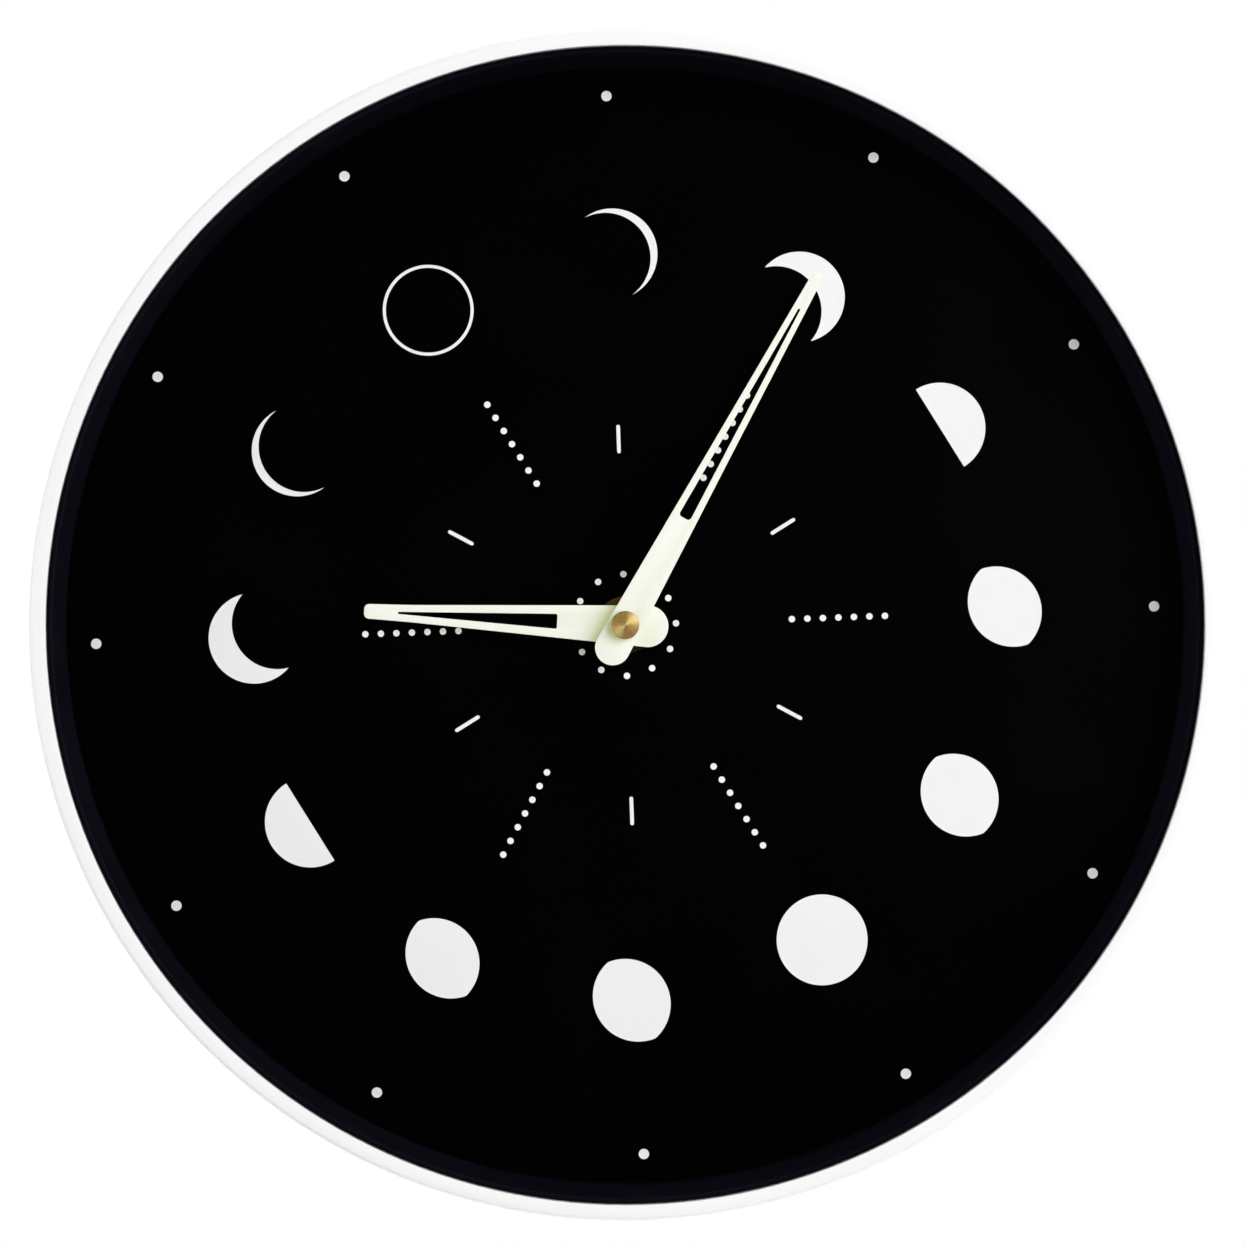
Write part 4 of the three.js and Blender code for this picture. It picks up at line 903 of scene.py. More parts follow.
@dataclass
class WhiteCase:
    """The white bezel ring and the case body that it snaps on to."""

    rim_round: float = 1.4
    rim_width: float = 4.2
    lip: float = 2.0
    lip_round: float = 0.22
    skirt: float = 1.6
    joint_round: float = 0.3
    wall: float = 1.8
    taper: float = 1.7
    foot_round: float = 1.1
    flange_width: float = 5.0
    flange: float = 2.0
    flange_round: float = 0.4
    lug_half: float = 5.0
    lug_root: float = 0.5
    lug_round: float = 0.25
    gusset: float = 1.2
    gusset_from: float = 2.6

    def build(self, bench: Bench) -> None:
        """Builds the bezel and the body."""
        self.bezel(bench)
        self.body(bench)

    def bezel(self, bench: Bench) -> None:
        """Builds the bezel, a lip over the lens and a skirt down the side.

        Args:
            bench: Where the pieces are fitted.
        """
        back, front = bench.span("bezel_ring")
        outer = bench.reach("bezel_ring")
        lip_inner, skirt_inner, lip_back = outer - self.rim_width, outer - self.skirt, front - self.lip
        skirt = [(skirt_inner, back), (outer, back), (outer, front)]
        lip = [(lip_inner, front), (lip_inner, lip_back)]
        ring = Form().turn([*skirt, *lip, (skirt_inner, lip_back)])
        ring.round_rings([(outer, front)], self.rim_round, 8)
        ring.round_rings(lip, self.lip_round, 3)
        ring.round_rings(skirt[:2], self.joint_round, 3)
        bench.piece(ring, "white_bezel", ["white_plastic"], "case", "bezel_ring")

    def body(self, bench: Bench) -> None:
        """Builds the case body, its back flange and the lugs that hold the pan.

        Args:
            bench: Where the pieces are fitted.
        """
        back, front = bench.span("case_body")
        outer = bench.reach("case_body")
        foot, shoulder = outer - self.taper, bench.span("bezel_ring")[0] - SLACK
        neck = bench.reach("bezel_ring") - self.skirt - SLACK
        inner = neck - self.wall
        flange_inner, flange_front = foot - self.flange_width, back + self.flange
        outside = [(flange_inner, back), (foot, back), (outer, shoulder), (neck, shoulder)]
        inside = [(neck, front), (inner, front), (inner, flange_front), (flange_inner, flange_front)]
        shell = Form().turn(outside + inside)
        shell.round_rings([(foot, back)], self.foot_round, 6)
        shell.round_rings([(outer, shoulder), (neck, front)], self.joint_round, 3)
        shell.round_rings([outside[0], inside[-1]], self.flange_round, 3)
        for name in PAN_SCREWS:
            x, y = bench.centre(name)
            lug = self.lug(math.hypot(x, y), inner, flange_front, bench.lug_front())
            shell.add(lug, math.atan2(y, x))
        bench.piece(shell, "case_shell", ["white_plastic"], "case", "case_body")

    def lug(self, radius: float, wall: float, foot: float, front: float) -> Form:
        """Makes one lug with its screw hole and gusset, on the right.

        Args:
            radius: The distance of its screw from the hand axis.
            wall: The radius of the wall that carries it.
            foot: The height at which its gusset ends.
            front: The height of its front.

        Returns:
            The lug.
        """
        end, half, back = wall + self.lug_root, self.lug_half, front - LUG_PLATE
        plate = Form().arc((radius, 0.0), half, math.pi / 2, math.pi, 20)
        plate.lines((radius, -half), (end, -half), (end, half), (radius, half))
        plate.circle((radius, 0.0), SCREW_HOLE, SMALL_STEPS).fill(back, front).soften_all(self.lug_round)
        under = back + self.lug_root
        web = Form().loop((radius + self.gusset_from, under), (end, under), (end, foot))
        web.fill(-self.gusset / 2, self.gusset / 2)
        bmesh.ops.transform(web.bm, matrix=Matrix.Rotation(math.pi / 2, 4, "X"), verts=web.bm.verts)
        return plate.add(web)


@dataclass
class DialPan:
    """The black pan that holds the dial: floor, raked wall, ribs and screw bosses."""

    wall: float = 1.5
    wall_round: float = 0.35
    floor: float = 2.0
    heel: float = 1.0
    draft: float = 2.0
    boss: float = 4.0
    boss_round: float = 0.3
    rib: float = 1.2
    rib_round: float = 0.2
    rib_from: float = 40.0
    rib_height: float = 3.0
    frame_height: float = 2.5

    def build(self, bench: Bench) -> None:
        """Builds the pan.

        Args:
            bench: Where the pieces are fitted.
        """
        front, outer = bench.span("dial_pan")[1], bench.reach("dial_pan")
        face = bench.span("dial")[0] - SLACK
        back, middle = face - self.floor, face - self.floor / 2
        foot, inner = outer - self.draft, outer - self.wall
        floor_edge = inner - self.draft
        under = [(BUSH_HOLE, back), (foot - self.heel, back), (foot, middle)]
        rim = [(outer, front), (inner, front)]
        pan = Form().turn([*under, *rim, (floor_edge, face), (BUSH_HOLE, face)])
        pan.round_rings(rim, self.wall_round, 3)
        half = self.rib / 2
        for number in range(4):
            low, high = (self.rib_from, -half, back - self.rib_height), (floor_edge, half, middle)
            pan.add(Form().block(low, high).soften_all(self.rib_round), number * math.pi / 2)
        bay, square = bench.reach("movement_housing") + SLACK, Form()
        for side in (bay, bay + self.rib):
            square.loop((side, side), (-side, side), (-side, -side), (side, -side))
        pan.add(square.fill(back - self.frame_height, middle).soften_all(self.rib_round))
        for screw, root in self.posts(bench):
            post = Form().turn([(0.0, root), (self.boss, root), (self.boss, middle), (0.0, middle)], 36)
            post.round_rings([(self.boss, root)], self.boss_round, 2)
            pan.add(post, 0.0, (*bench.centre(screw), 0.0))
        pan.tint_front(1)
        bench.piece(pan, "black_pan", ["black_plastic", "matt_black"], "case", "dial_pan")

    @staticmethod
    def posts(bench: Bench) -> list[tuple[str, float]]:
        """Returns the screw of each boss and the height at which the boss starts."""
        held = [(screw, bench.lug_front() + SLACK) for screw in PAN_SCREWS]
        return held + [(screw, bench.span("wall_hanger")[1] + SLACK) for screw in HANGER_SCREWS]


class Phase(Enum):
    """The shape of a moon's lit part."""

    CRESCENT = "crescent"
    HALF = "half"
    GIBBOUS = "gibbous"
    FULL = "full"
    NEW = "new"


@dataclass(frozen=True)
class Moon:
    """One hour's moon: its phase, how far its two edges stand apart, and whether it wanes."""

    phase: Phase
    offset: float = 0.0
    wanes: bool = False

    def outline(self, radius: float, line: float) -> Form:
        """Draws the lit part with its bright side to the right.

        Args:
            radius: The moon's radius.
            line: The width of the line that stands for a new moon.

        Returns:
            The outline.
        """
        drawn, middle = Form(), (0.0, 0.0)
        share = math.acos(self.offset / 2 / radius)
        if self.phase is Phase.CRESCENT:
            drawn.arc(middle, radius, share - math.pi, math.tau - 2 * share, 64)
            drawn.arc((-self.offset, 0.0), radius, -share, 2 * share, 64)
        elif self.phase is Phase.GIBBOUS:
            drawn.arc(middle, radius, -share, 2 * share, ROUND_STEPS)
            drawn.arc((self.offset, 0.0), radius, math.pi - share, 2 * share, ROUND_STEPS)
        elif self.phase is Phase.HALF:
            drawn.arc(middle, radius, -math.pi / 2, math.pi, ROUND_STEPS)
            drawn.lines((0.0, radius), (0.0, -radius))
        else:
            drawn.circle(middle, radius, FINE_STEPS)
        if self.phase is Phase.NEW:
            drawn.circle(middle, radius - line, FINE_STEPS)
        return drawn


@dataclass
class PrintedDial:
    """The black dial sheet and the white marks printed on it."""

    edge: float = 0.15
    relief: float = 0.2
    ink: float = 0.08
    bed: float = 0.02
    moon_radius: float = 11.8
    moon_inset: float = 48.3
    moon_tilt: float = math.pi / 6
    new_line: float = 0.8
    hour_dot: float = 1.35
    hour_dot_inset: float = 7.3
    dash_ring: float = 48.3
    dash_length: float = 7.4
    dash_width: float = 0.96
    small_dot: float = 0.845
    hub_ring: float = 13.2
    ray_from: float = 43.3
    ray_step: float = 4.03
    ray_count: int = 7
    moons: tuple[Moon, ...] = (
        Moon(Phase.CRESCENT, 2.1),
        Moon(Phase.CRESCENT, 7.1),
        Moon(Phase.HALF),
        Moon(Phase.GIBBOUS, 5.2),
        Moon(Phase.GIBBOUS, 4.0),
        Moon(Phase.FULL),
        Moon(Phase.GIBBOUS, 4.0, True),
        Moon(Phase.GIBBOUS, 5.2, True),
        Moon(Phase.HALF, 0.0, True),
        Moon(Phase.CRESCENT, 7.1, True),
        Moon(Phase.CRESCENT, 2.1, True),
        Moon(Phase.NEW),
    )

    def build(self, bench: Bench) -> None:
        """Builds the sheet and the print.

        Args:
            bench: Where the pieces are fitted.
        """
        back, proud = bench.span("dial")
        radius, face = bench.reach("dial"), proud - self.relief
        rim = [(radius, back), (radius, face)]
        sheet = Form().turn([(BUSH_HOLE, back), *rim, (BUSH_HOLE, face)])
        sheet.round_rings(rim, self.edge, 2)
        bench.piece(sheet, "dial_sheet", ["dial_black"], "case", "dial")
        marks = Form()
        root, top = face - self.bed, face + self.ink
        for hour, moon in enumerate(self.moons):
            turn = self.moon_tilt + (math.pi if moon.wanes else 0.0)
            shape = moon.outline(self.moon_radius, self.new_line).fill(root, top)
            marks.add(shape, turn, self.at(hour, radius - self.moon_inset))
            dot = self.spot(self.hour_dot, 32, root, top)
            marks.add(dot, 0.0, self.at(hour, radius - self.hour_dot_inset))
            rings = [self.hub_ring]
            if hour % 2:
                rings += [self.ray_from + number * self.ray_step for number in range(self.ray_count)]
            else:
                marks.add(self.dash(root, top), self.direction(hour), self.at(hour, self.dash_ring))
            for ring in rings:
                marks.add(self.spot(self.small_dot, SMALL_STEPS, root, top), 0.0, self.at(hour, ring))
        bench.piece(marks, "dial_print", ["white_ink"], "case", "dial")

    @staticmethod
    def direction(hour: int) -> float:
        """Returns the direction of an hour, anticlockwise from the right."""
        return math.pi / 2 - hour * math.pi / 6

    def at(self, hour: int, radius: float) -> Triple:
        """Returns the place of a mark at an hour and a radius."""
        angle = self.direction(hour)
        return radius * math.cos(angle), radius * math.sin(angle), 0.0

    @staticmethod
    def spot(radius: float, steps: int, back: float, front: float) -> Form:
        """Returns a round dot of ink."""
        return Form().circle((0.0, 0.0), radius, steps).fill(back, front)

    def dash(self, back: float, front: float) -> Form:
        """Makes a dash of ink along the x axis, with round ends.

        Args:
            back: The height of its back.
            front: The height of its front.

        Returns:
            The dash.
        """
        end, half = (self.dash_length - self.dash_width) / 2, self.dash_width / 2
        drawn = Form().arc((end, 0.0), half, -math.pi / 2, math.pi, 12)
        drawn.arc((-end, 0.0), half, math.pi / 2, math.pi, 12)
        drawn.lines((end, half), (-end, half)).lines((-end, -half), (end, -half))
        return drawn.fill(back, front)


@dataclass
class ClearLens:
    """The clear sheet over the dial."""

    edge: float = 0.25

    def build(self, bench: Bench) -> None:
        """Builds the lens.

        Args:
            bench: Where the pieces are fitted.
        """
        back, front = bench.span("lens")
        radius = bench.reach("lens")
        rim = [(radius, back), (radius, front)]
        sheet = Form().turn([(0.0, back), *rim, (0.0, front)]).round_rings(rim, self.edge, 2)
        bench.piece(sheet, "clear_lens", ["clear_lens"], "case", "lens")


@dataclass
class ClockHand:
    """A flat stamped hand with a round tail, a tapered arm and a tapered slot."""

    node: str
    body: str
    angle: float
    length: float
    root: float
    waist: Point
    tip: float
    slot_from: float
    slot_to: float
    slot_root: float
    slot_tip: float
    hole: float
    tail: float = 11.2
    collet: float = 0.0
    corner: float = 1.3
    slot_corner: float = 0.5
    edge: float = 0.07
    sheet: float = 0.5

    def build(self, bench: Bench) -> None:
        """Builds the hand.

        Args:
            bench: Where the pieces are fitted.
        """
        back, front = bench.span(self.node)
        under = front - self.sheet
        plate = self.outline().circle((0.0, 0.0), self.hole, 36).fill(under, front)
        hand = Form().add(plate.soften_face(front, self.edge), -math.radians(self.angle))
        if self.collet:
            low, high = [(self.hole, back), (self.collet, back)], [(self.collet, under), (self.hole, under)]
            hand.add(Form().turn(low + high, ROUND_STEPS))
        bench.piece(hand, f"{self.node}_plate", ["luminous_paint"], self.body, self.node)

    def outline(self) -> Form:
        """Draws the hand upright, with its slot.

        Returns:
            The outline.
        """
        tail_end, tip_end = self.root - self.tail, self.length - self.corner
        flat, inset = self.tip - self.corner, self.slot_root - self.slot_corner
        slot_low = self.slot_from + self.slot_corner
        drawn = Form().arc((0.0, tail_end), self.root, math.pi, math.pi, 40)
        drawn.lines((flat, self.length), (-flat, self.length))
        drawn.lines((inset, self.slot_from), (-inset, self.slot_from))
        drawn.arc((0.0, self.slot_to), self.slot_tip, 0.0, math.pi, 8)
        for side in (1, -1):
            waist = (side * self.waist[0], self.waist[1])
            drawn.lines((side * self.root, tail_end), waist, (side * self.tip, tip_end))
            drawn.lines((side * self.slot_root, slot_low), (side * self.slot_tip, self.slot_to))
            drawn.arc((side * flat, tip_end), self.corner, math.pi / 2, -side * math.pi / 2, 10)
            drawn.arc((side * inset, slot_low), self.slot_corner, -math.pi / 2, side * math.pi / 2, 6)
        return drawn


@dataclass
class CentreFittings:
    """The brass washer and nuts at the middle of the dial."""

    washer_round: float = 0.15
    across_flats: float = 11.0
    nut_round: float = 0.25
    cap_bore: float = 1.5
    cap_round: float = 0.35
    cap_foot: float = 0.15
    crown: float = 0.04

    def build(self, bench: Bench) -> None:
        """Builds the washer, the hexagonal nut and the cap nut.

        Args:
            bench: Where the pieces are fitted.
        """
        back, front = bench.span("dial_washer")
        radius = bench.reach("dial_washer")
        face = [(radius, front), (BUSH_HOLE, front)]
        washer = Form().turn([(BUSH_HOLE, back), (radius, back), *face], FINE_STEPS)
        washer.round_rings(face, self.washer_round, 3)
        # The washer and the hexagonal nut take a darkened brass: painted shade for the shadow under the
        # hands, with a one-sided painted highlight.
        bench.piece(washer, "brass_washer", ["aged_brass"], "case", "dial_washer")
        nut = Form().circle((0.0, 0.0), self.across_flats / math.sqrt(3), 6)
        nut.circle((0.0, 0.0), BUSH_HOLE).fill(*bench.span("dial_nut")).soften_all(self.nut_round, 3)
        bench.piece(nut, "brass_hex_nut", ["aged_brass"], "case", "dial_nut")
        self.cap(bench)

    def cap(self, bench: Bench) -> None:
        """Builds the round cap nut that holds the minute hand, with a shallow crown.

        Args:
            bench: Where the pieces are fitted.
        """
        back, front = bench.span("hand_nut")
        radius = bench.reach("hand_nut")
        shaft_end = bench.span("minute_shaft")[1] + SLACK
        foot, brow = (radius, back), (radius, front - self.crown)
        bore = [(0.0, shaft_end), (self.cap_bore, shaft_end), (self.cap_bore, back)]
        cap = Form().turn([*bore, foot, brow, (0.0, front)], FINE_STEPS)
        cap.round_rings([brow], self.cap_round, 4).round_rings([foot], self.cap_foot, 2)
        bench.piece(cap, "brass_cap_nut", ["brass"], "minute_hand_set", "hand_nut")


@dataclass
class WallHanger:
    """The steel strap with the keyhole that takes the nail."""

    corner: float = 5.5
    slot: float = 2.2
    entry: float = 4.8
    drop: float = 10.0
    reach_up: float = 7.7
    edge: float = 0.18

    def build(self, bench: Bench) -> None:
        """Builds the strap.

        Args:
            bench: Where the pieces are fitted.
        """
        low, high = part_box("wall_hanger")
        back, front = bench.span("wall_hanger")
        axis = bench.axis().z
        half, bottom, top = high.x / MM, (low.z - axis) / MM, (high.z - axis) / MM
        strap = Form()
        inner, down, up = half - self.corner, bottom + self.corner, top - self.corner
        for start, centre in enumerate([(inner, up), (-inner, up), (-inner, down), (inner, down)]):
            strap.arc(centre, self.corner, start * math.pi / 2, math.pi / 2, 10)
        strap.lines((inner, top), (-inner, top)).lines((-inner, bottom), (inner, bottom))
        strap.lines((half, down), (half, up)).lines((-half, up), (-half, down))
        self.keyhole(strap, top - self.reach_up)
        for screw in HANGER_SCREWS:
            strap.circle(bench.centre(screw), SCREW_HOLE, SMALL_STEPS)
        strap.fill(back, front).soften_face(back, self.edge).soften_face(front, self.edge)
        bench.piece(strap, "steel_strap", ["steel"], "case", "wall_hanger")

    def keyhole(self, strap: Form, nail: float) -> None:
        """Draws the keyhole.

        Args:
            strap: The strap's outline.
            nail: The height of the nail's centre above the hand axis.
        """
        entry = nail - self.drop
        meet = math.acos(self.slot / self.entry)
        shoulder = entry + self.entry * math.sin(meet)
        strap.arc((0.0, nail), self.slot, 0.0, math.pi, 16)
        strap.arc((0.0, entry), self.entry, math.pi - meet, math.pi + 2 * meet, 40)
        for side in (self.slot, -self.slot):
            strap.lines((side, shoulder), (side, nail))


@dataclass
class Screws:
    """The round-headed steel screws at the back, each with a cross recess."""

    crown: float = 2.0
    cheek: float = 0.25
    cheek_drop: float = 0.35
    brow_drop: float = 0.8
    recess: float = 1.5
    lip: float = 0.3
    shank: float = 1.45
    arm: float = 1.5
    arm_half: float = 0.34
    inlet: float = 0.04
    head_round: float = 0.12
    steps: int = 40

    def build(self, bench: Bench) -> None:
        """Builds the screws of the pan and of the hanger.

        Args:
            bench: Where the pieces are fitted.
        """
        for name in PAN_SCREWS + HANGER_SCREWS:
            low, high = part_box(name)
            screw = self.screw(*bench.span(name), (high.x - low.x) / 2 / MM)
            placed = Form().add(screw, 0.0, (*bench.centre(name), 0.0))
            bench.piece(placed, f"cross_{name}", ["steel"], "case", name)

    def screw(self, back: float, front: float, radius: float) -> Form:
        """Makes one screw on the hand axis, with its head towards the wall.

        Args:
            back: The height of the top of its head.
            front: The height of its point.
            radius: The radius of its head.

        Returns:
            The screw.
        """
        lip, seat = back + self.lip, back + SCREW_HEAD
        cheek, brow = (radius - self.cheek, back + self.cheek_drop), (radius, back + self.brow_drop)
        top = [(0.0, back + self.recess), (self.crown, lip), (self.crown, back)]
        side, shank = [cheek, brow, (radius, seat)], [(self.shank, seat), (self.shank, front)]
        made = Form().turn([*top, *side, *shank, (0.0, front)], self.steps)
        made.round_rings(side, self.head_round, 2)
        a, b = self.arm, self.arm_half
        cross = [(a, -b), (a, b), (b, b), (b, a), (-b, a), (-b, b), (-a, b), (-a, -b), (-b, -b)]
        face = Form().circle((0.0, 0.0), self.crown + self.inlet, self.steps)
        face.loop(*cross, (-b, -a), (b, -a), (b, -b))
        return made.add(face.fill(back + self.inlet / 2, lip + self.inlet))


@dataclass
class Battery:
    """The round cell: a printed sleeve folded over steel ends, and the nub."""

    nub: float = 2.75
    nub_length: float = 1.2
    rim: float = 5.6
    band: float = 0.72
    nub_round: float = 0.3
    collar: float = 0.6
    collar_rise: float = 0.15
    base_gap: float = 0.05
    slope: float = 0.1
    film: float = 0.3
    film_round: float = 0.12
    seam: float = 0.03
    sunk: float = 0.35

    def build(self, bench: Bench) -> None:
        """Builds the cell along the bay.

        Args:
            bench: Where the pieces are fitted.
        """
        low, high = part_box("battery")
        left, right, radius = low.x / MM, high.x / MM, (high.z - low.z) / 2 / MM
        shoulder = right - self.nub_length
        change = left + self.band * (shoulder - left)
        cell = Form().add(self.sleeve(left, change - self.seam, radius).tint(0))
        cell.add(self.sleeve(change, shoulder, radius).tint(1))
        can, low_rim, high_rim = radius - self.film, left + self.sunk, shoulder - self.sunk
        base, step = left + self.base_gap, self.rim + self.slope
        low_end = [(0.0, base), (self.rim, base), (step, low_rim), (can, low_rim)]
        high_end = [(can, high_rim), (step, high_rim), (self.nub + self.collar, high_rim + self.collar_rise)]
        nub = [(self.nub, shoulder), (self.nub, right), (0.0, right)]
        ends = Form().turn(low_end + high_end + nub, ROUND_STEPS)
        ends.round_rings([(self.nub, right)], self.nub_round, 3)
        cell.add(ends.tint(2))
        along = Matrix.Rotation(math.pi / 2, 4, "Y")
        bmesh.ops.transform(cell.bm, matrix=along, verts=cell.bm.verts)
        back, front = bench.span("battery")
        lift = Vector((0.0, bench.centre("battery")[1], (back + front) / 2))
        bmesh.ops.translate(cell.bm, verts=cell.bm.verts, vec=lift)
        bench.piece(cell, "dry_cell", ["cell_sleeve", "brass", "steel"], "cell", "battery")

    def sleeve(self, start: float, end: float, radius: float) -> Form:
        """Makes a length of the sleeve, with rounded ends, let a little into the can.

        Args:
            start: Where it starts along the cell.
            end: Where it ends.
            radius: Its radius.

        Returns:
            The sleeve.
        """
        inside, skin = radius - self.film - self.seam, [(radius, start), (radius, end)]
        tube = Form().turn([(inside, start), *skin, (inside, end)], 72)
        return tube.round_rings(skin, self.film_round, 2)


@dataclass
class Movement:
    """The quartz movement: its nodes' own shapes, with the moulded and stamped edges eased.

    The edges of the cover that are too short for the round of their neighbours stay sharp.
    """

    edges: tuple[tuple[float, str], ...] = (
        (0.3, "movement_cover"),
        (0.25, "movement_housing"),
        (0.12, "setting_knob threaded_bush cushion_washer"),
        (0.1, "train_bridge"),
        (0.08, "quartz_crystal timer_chip drive_coil"),
        (0.06, "positive_contact negative_contact minute_shaft"),
        (0.05, "circuit_board coil_core minute_wheel hour_wheel setting_pinion"),
        (0.04, "rotor intermediate_wheel seconds_wheel third_wheel centre_wheel"),
        (0.03, "clutch_spring"),
    )
    cover_least: float = 2.0

    def build(self, bench: Bench) -> None:
        """Builds each piece from a copy of its node.

        Args:
            bench: Where the pieces are fitted.
        """
        for width, nodes in self.edges:
            for node in nodes.split():
                least = self.cover_least if node == "movement_cover" else 0.0
                eased = bench.copy_of(node).soften_all(width, 2, least)
                bench.piece(eased, f"eased_{node}", [bench.slot_of(node)], bench.body_of(node), node)


@dataclass
class Studio:
    """The camera, the lamps and the pale surroundings, in metres and watts, with the lens in millimetres."""

    focal: float = 133.6
    sensor: float = 36.0
    clip: float = 0.05
    distance: float = 1.18
    roll: float = math.radians(-2.03)
    aside: Point = (-0.00079, 0.00082)
    key_watts: float = 51.5
    key_tilt: float = math.radians(45)
    key_rise: float = math.radians(17)
    key_distance: float = 1.9
    key_size: float = 1.72
    soft_distance: float = 1.1
    soft_size: float = 0.8
    soft_lamps: tuple[tuple[str, Triple, float], ...] = (
        ("left", (-1.0, -0.25, 0.1), 9.5),
        ("top", (0.0, 0.35, 1.0), 6.0),
        ("bottom", (0.0, 0.35, -1.0), 8.0),
    )
    ambient: float = 0.11
    floor_drop: float = 1.2
    floor_half: float = 1.4
    floor_white: float = 0.8
    floor_rough: float = 0.8
    floor_cloud: float = 300.0
    floor_colour: Colour = (0.80, 0.80, 0.80)
    floor_shade: Colour = (0.84, 0.84, 0.84)

    def build(self) -> None:
        """Sets up the whole studio."""
        scene = bpy.context.scene
        scene.view_settings.view_transform = "Standard"
        low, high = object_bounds()
        middle = Vector((0.0, low.y, (low.z + high.z) / 2))
        self.camera(middle)
        self.lamps(middle)
        self.world()
        self.floor(low.z - self.floor_drop)

    def camera(self, middle: Vector) -> None:
        """Sets the camera square to the dial, with the photograph's small roll.

        Args:
            middle: The middle of the clock's front.
        """
        data = bpy.data.cameras.new("camera")
        data.lens = self.focal
        data.sensor_width = self.sensor
        data.clip_start = self.clip
        made = bpy.data.objects.new("camera", data)
        place = middle + Vector((self.aside[0], -self.distance, self.aside[1]))
        turn = Matrix.Rotation(math.pi / 2, 4, "X") @ Matrix.Rotation(self.roll, 4, "Z")
        made.matrix_world = Matrix.Translation(place) @ turn
        bpy.context.scene.collection.objects.link(made)
        bpy.context.scene.camera = made

    def lamps(self, middle: Vector) -> None:
        """Hangs the key lamp to the right and the soft lamps beside and behind the clock.

        Args:
            middle: The middle of the clock's front.
        """
        aside, ahead = math.sin(self.key_tilt), math.cos(self.key_tilt)
        aim = Vector((aside * math.cos(self.key_rise), -ahead, aside * math.sin(self.key_rise)))
        self.lamp("key", middle, aim * self.key_distance, self.key_size, self.key_watts)
        for name, way, watts in self.soft_lamps:
            self.lamp(name, middle, Vector(way) * self.soft_distance, self.soft_size, watts)

    @staticmethod
    def lamp(name: str, middle: Vector, away: Vector, size: float, watts: float) -> None:
        """Hangs one square lamp.

        Args:
            name: Its name.
            middle: What it lights.
            away: Where it hangs from there.
            size: Its side.
            watts: Its power.
        """
        data = bpy.data.lights.new(name, "AREA")
        data.shape = "SQUARE"
        data.size = size
        data.energy = watts
        made = bpy.data.objects.new(name, data)
        turn = away.to_track_quat("Z", "Y").to_matrix().to_4x4()
        made.matrix_world = Matrix.Translation(middle + away) @ turn
        made.visible_camera = False
        bpy.context.scene.collection.objects.link(made)

    def world(self) -> None:
        """Gives a white surround to the eye and to gloss, and a faint even light to the rest."""
        world = bpy.data.worlds.new("surround")
        world.use_nodes = True
        bpy.context.scene.world = world
        look = Look(world.node_tree)
        faint = look.node("ShaderNodeBackground", {}, {"Color": WHITE, "Strength": self.ambient})
        white = look.node("ShaderNodeBackground", {}, {"Color": WHITE, "Strength": 1.0})
        shader = look.node("ShaderNodeMixShader", {}, {0: look.seen(), 1: faint, 2: white})
        look.node_out("ShaderNodeOutputWorld", shader)

    def floor(self, height: float) -> None:
        """Lays a pale floor below the clock.

        Args:
            height: Its height in the row's frame.
        """
        sheet = bmesh.new()
        bmesh.ops.create_grid(sheet, x_segments=1, y_segments=1, size=self.floor_half)
        mesh = bpy.data.meshes.new("floor")
        sheet.to_mesh(mesh)
        sheet.free()
        mesh.transform(Matrix.Translation((0.0, 0.0, height)))
        material = bpy.data.materials.new("pale_floor")
        material.use_nodes = True
        look = Look(material.node_tree)
        cloud = look.noise(look.place(), self.floor_cloud)
        pale = look.mix(cloud, self.floor_colour, self.floor_shade)
        matt = look.node("ShaderNodeBsdfPrincipled", {}, {"Base Color": pale, "Roughness": self.floor_rough})
        white = look.node("ShaderNodeEmission", {}, {"Color": WHITE, "Strength": 1.0})
        share = look.seen() * self.floor_white
        shader = look.node("ShaderNodeMixShader", {}, {0: share, 1: matt, 2: white})
        look.node_out("ShaderNodeOutputMaterial", shader)
        mesh.materials.append(material)
        made = bpy.data.objects.new("floor", mesh)
        bpy.context.scene.collection.objects.link(made)
        made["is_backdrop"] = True


def finishes(axis: Vector) -> dict[str, bpy.types.Material]:
    """Makes the clock's finishes.

    Args:
        axis: The point where the hand axis meets the wall.

    Returns:
        The materials by the names of their slots.
    """
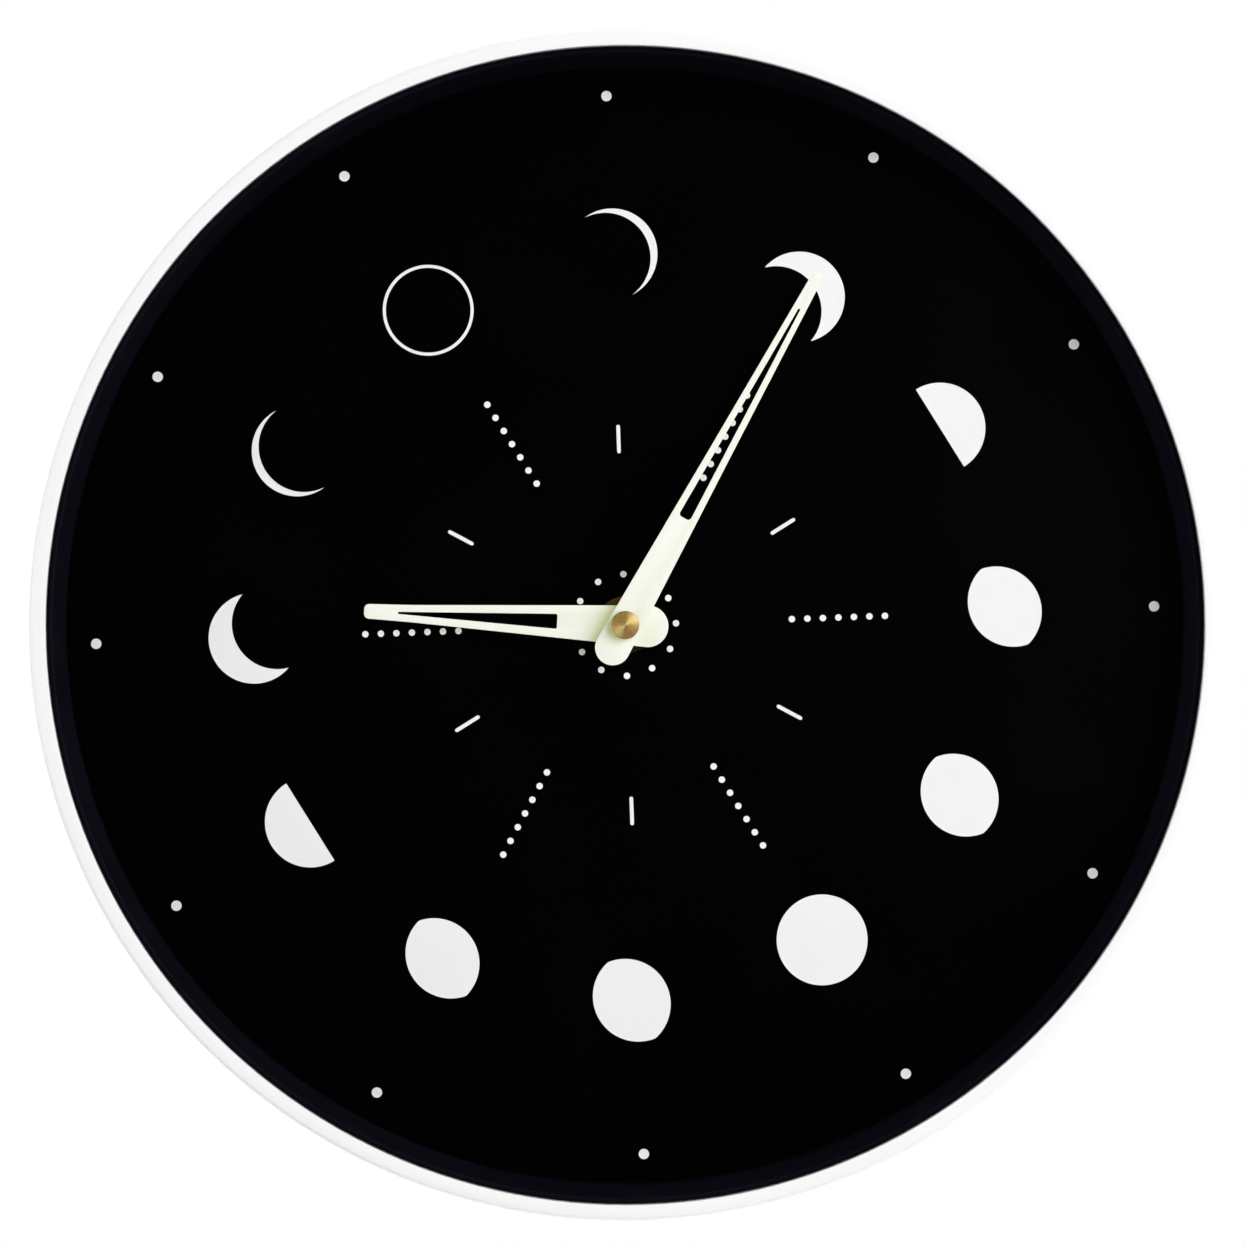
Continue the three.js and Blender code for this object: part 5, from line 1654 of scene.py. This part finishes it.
    # The plastics' numbers are their roughness, the size and the depth of their grain, and their gloss.
    kinds: list[Finish] = [
        MouldedPlastic("white_plastic", (0.83, 0.83, 0.83), (0.81, 0.81, 0.807), 0.42, 0.4, 0.006, 0.3),
        MouldedPlastic("black_plastic", (0.010, 0.010, 0.011), (0.016, 0.016, 0.017), 0.4, 0.5, 0.015, 0.45),
        MouldedPlastic("matt_black", (0.004, 0.003, 0.0064), (0.0027, 0.002, 0.0045), 0.5, 0.5, 0.01, 0.03),
        MouldedPlastic("dark_plastic", (0.012, 0.012, 0.013), (0.020, 0.020, 0.021), 0.45, 0.5, 0.02),
        MouldedPlastic("gear_plastic", (0.72, 0.70, 0.64), (0.62, 0.60, 0.53), 0.4, 0.3, 0.008),
        MouldedPlastic("magnet", (0.06, 0.06, 0.065), (0.10, 0.10, 0.105), 0.5, 0.2, 0.02),
        MouldedPlastic("soft_rubber", (0.012, 0.012, 0.012), (0.022, 0.021, 0.020), 0.85, 0.25, 0.03, 0.3),
        MouldedPlastic("board_green", (0.02, 0.14, 0.06), (0.03, 0.19, 0.08), 0.35, 0.3, 0.01),
        MouldedPlastic("cell_sleeve", (0.03, 0.09, 0.30), (0.05, 0.13, 0.38), 0.28, 1.5, 0.01),
        ClearAcrylic("clear_lens"),
        DialCoating("dial_black"),
        PaintFilm("white_ink", (0.925, 0.925, 0.93), (0.90, 0.90, 0.905)),
        # The hands' paint has a greenish painted glow, which tints the shadows on them.
        PaintFilm(
            "luminous_paint", (0.785, 0.76, 0.865), (0.76, 0.735, 0.84), painted_glow=(0.175, 0.22, 0.004)
        ),
        # The cap nut's brass has a painted highlight in two sectors across its face.
        TurnedMetal("brass", (0.47, 0.35, 0.144), (0.198, 0.119, 0.031), axis),
        # A darkened brass whose colour is painted shade, with a one-sided painted highlight towards the
        # upper left.
        TurnedMetal(
            "aged_brass",
            (0.062, 0.034, 0.0085),
            (0.01, 0.008, 0.005),
            axis,
            pitch=0.2,
            rough=0.45,
            highlight_lean=math.radians(107),
            highlight_sides=1,
        ),
        RolledMetal("steel", (0.60, 0.60, 0.61), (0.42, 0.42, 0.43)),
        WoundCopper("copper"),
    ]
    return {kind.slot: kind.material() for kind in kinds}


def main() -> None:
    """Builds the clock, its finishes and the studio."""
    logging.basicConfig(level=logging.INFO, format="%(name)s: %(message)s")
    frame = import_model()
    bench = Bench(frame, finishes(Bench.axis()))
    hour = ClockHand(
        node="hour_hand",
        body="hour_hand_set",
        angle=275.1,
        length=67.6,
        root=5.4,
        waist=(2.25, 55.0),
        tip=1.9,
        slot_from=17.6,
        slot_to=58.6,
        slot_root=1.93,
        slot_tip=0.28,
        hole=2.8,
        collet=4.2,
    )
    minute = ClockHand(
        node="minute_hand",
        body="minute_hand_set",
        angle=30.9,
        length=103.6,
        root=4.55,
        waist=(2.9, 50.0),
        tip=1.5,
        corner=1.1,
        slot_from=31.5,
        slot_to=92.8,
        slot_root=1.63,
        slot_tip=0.3,
        slot_corner=0.9,
        hole=1.5,
    )
    front = (WhiteCase(), DialPan(), PrintedDial(), ClearLens(), hour, minute, CentreFittings())
    for assembly in (*front, WallHanger(), Screws(), Battery(), Movement()):
        assembly.build(bench)
    bench.dress_rest()
    Studio().build()


if __name__ == "__main__":
    main()
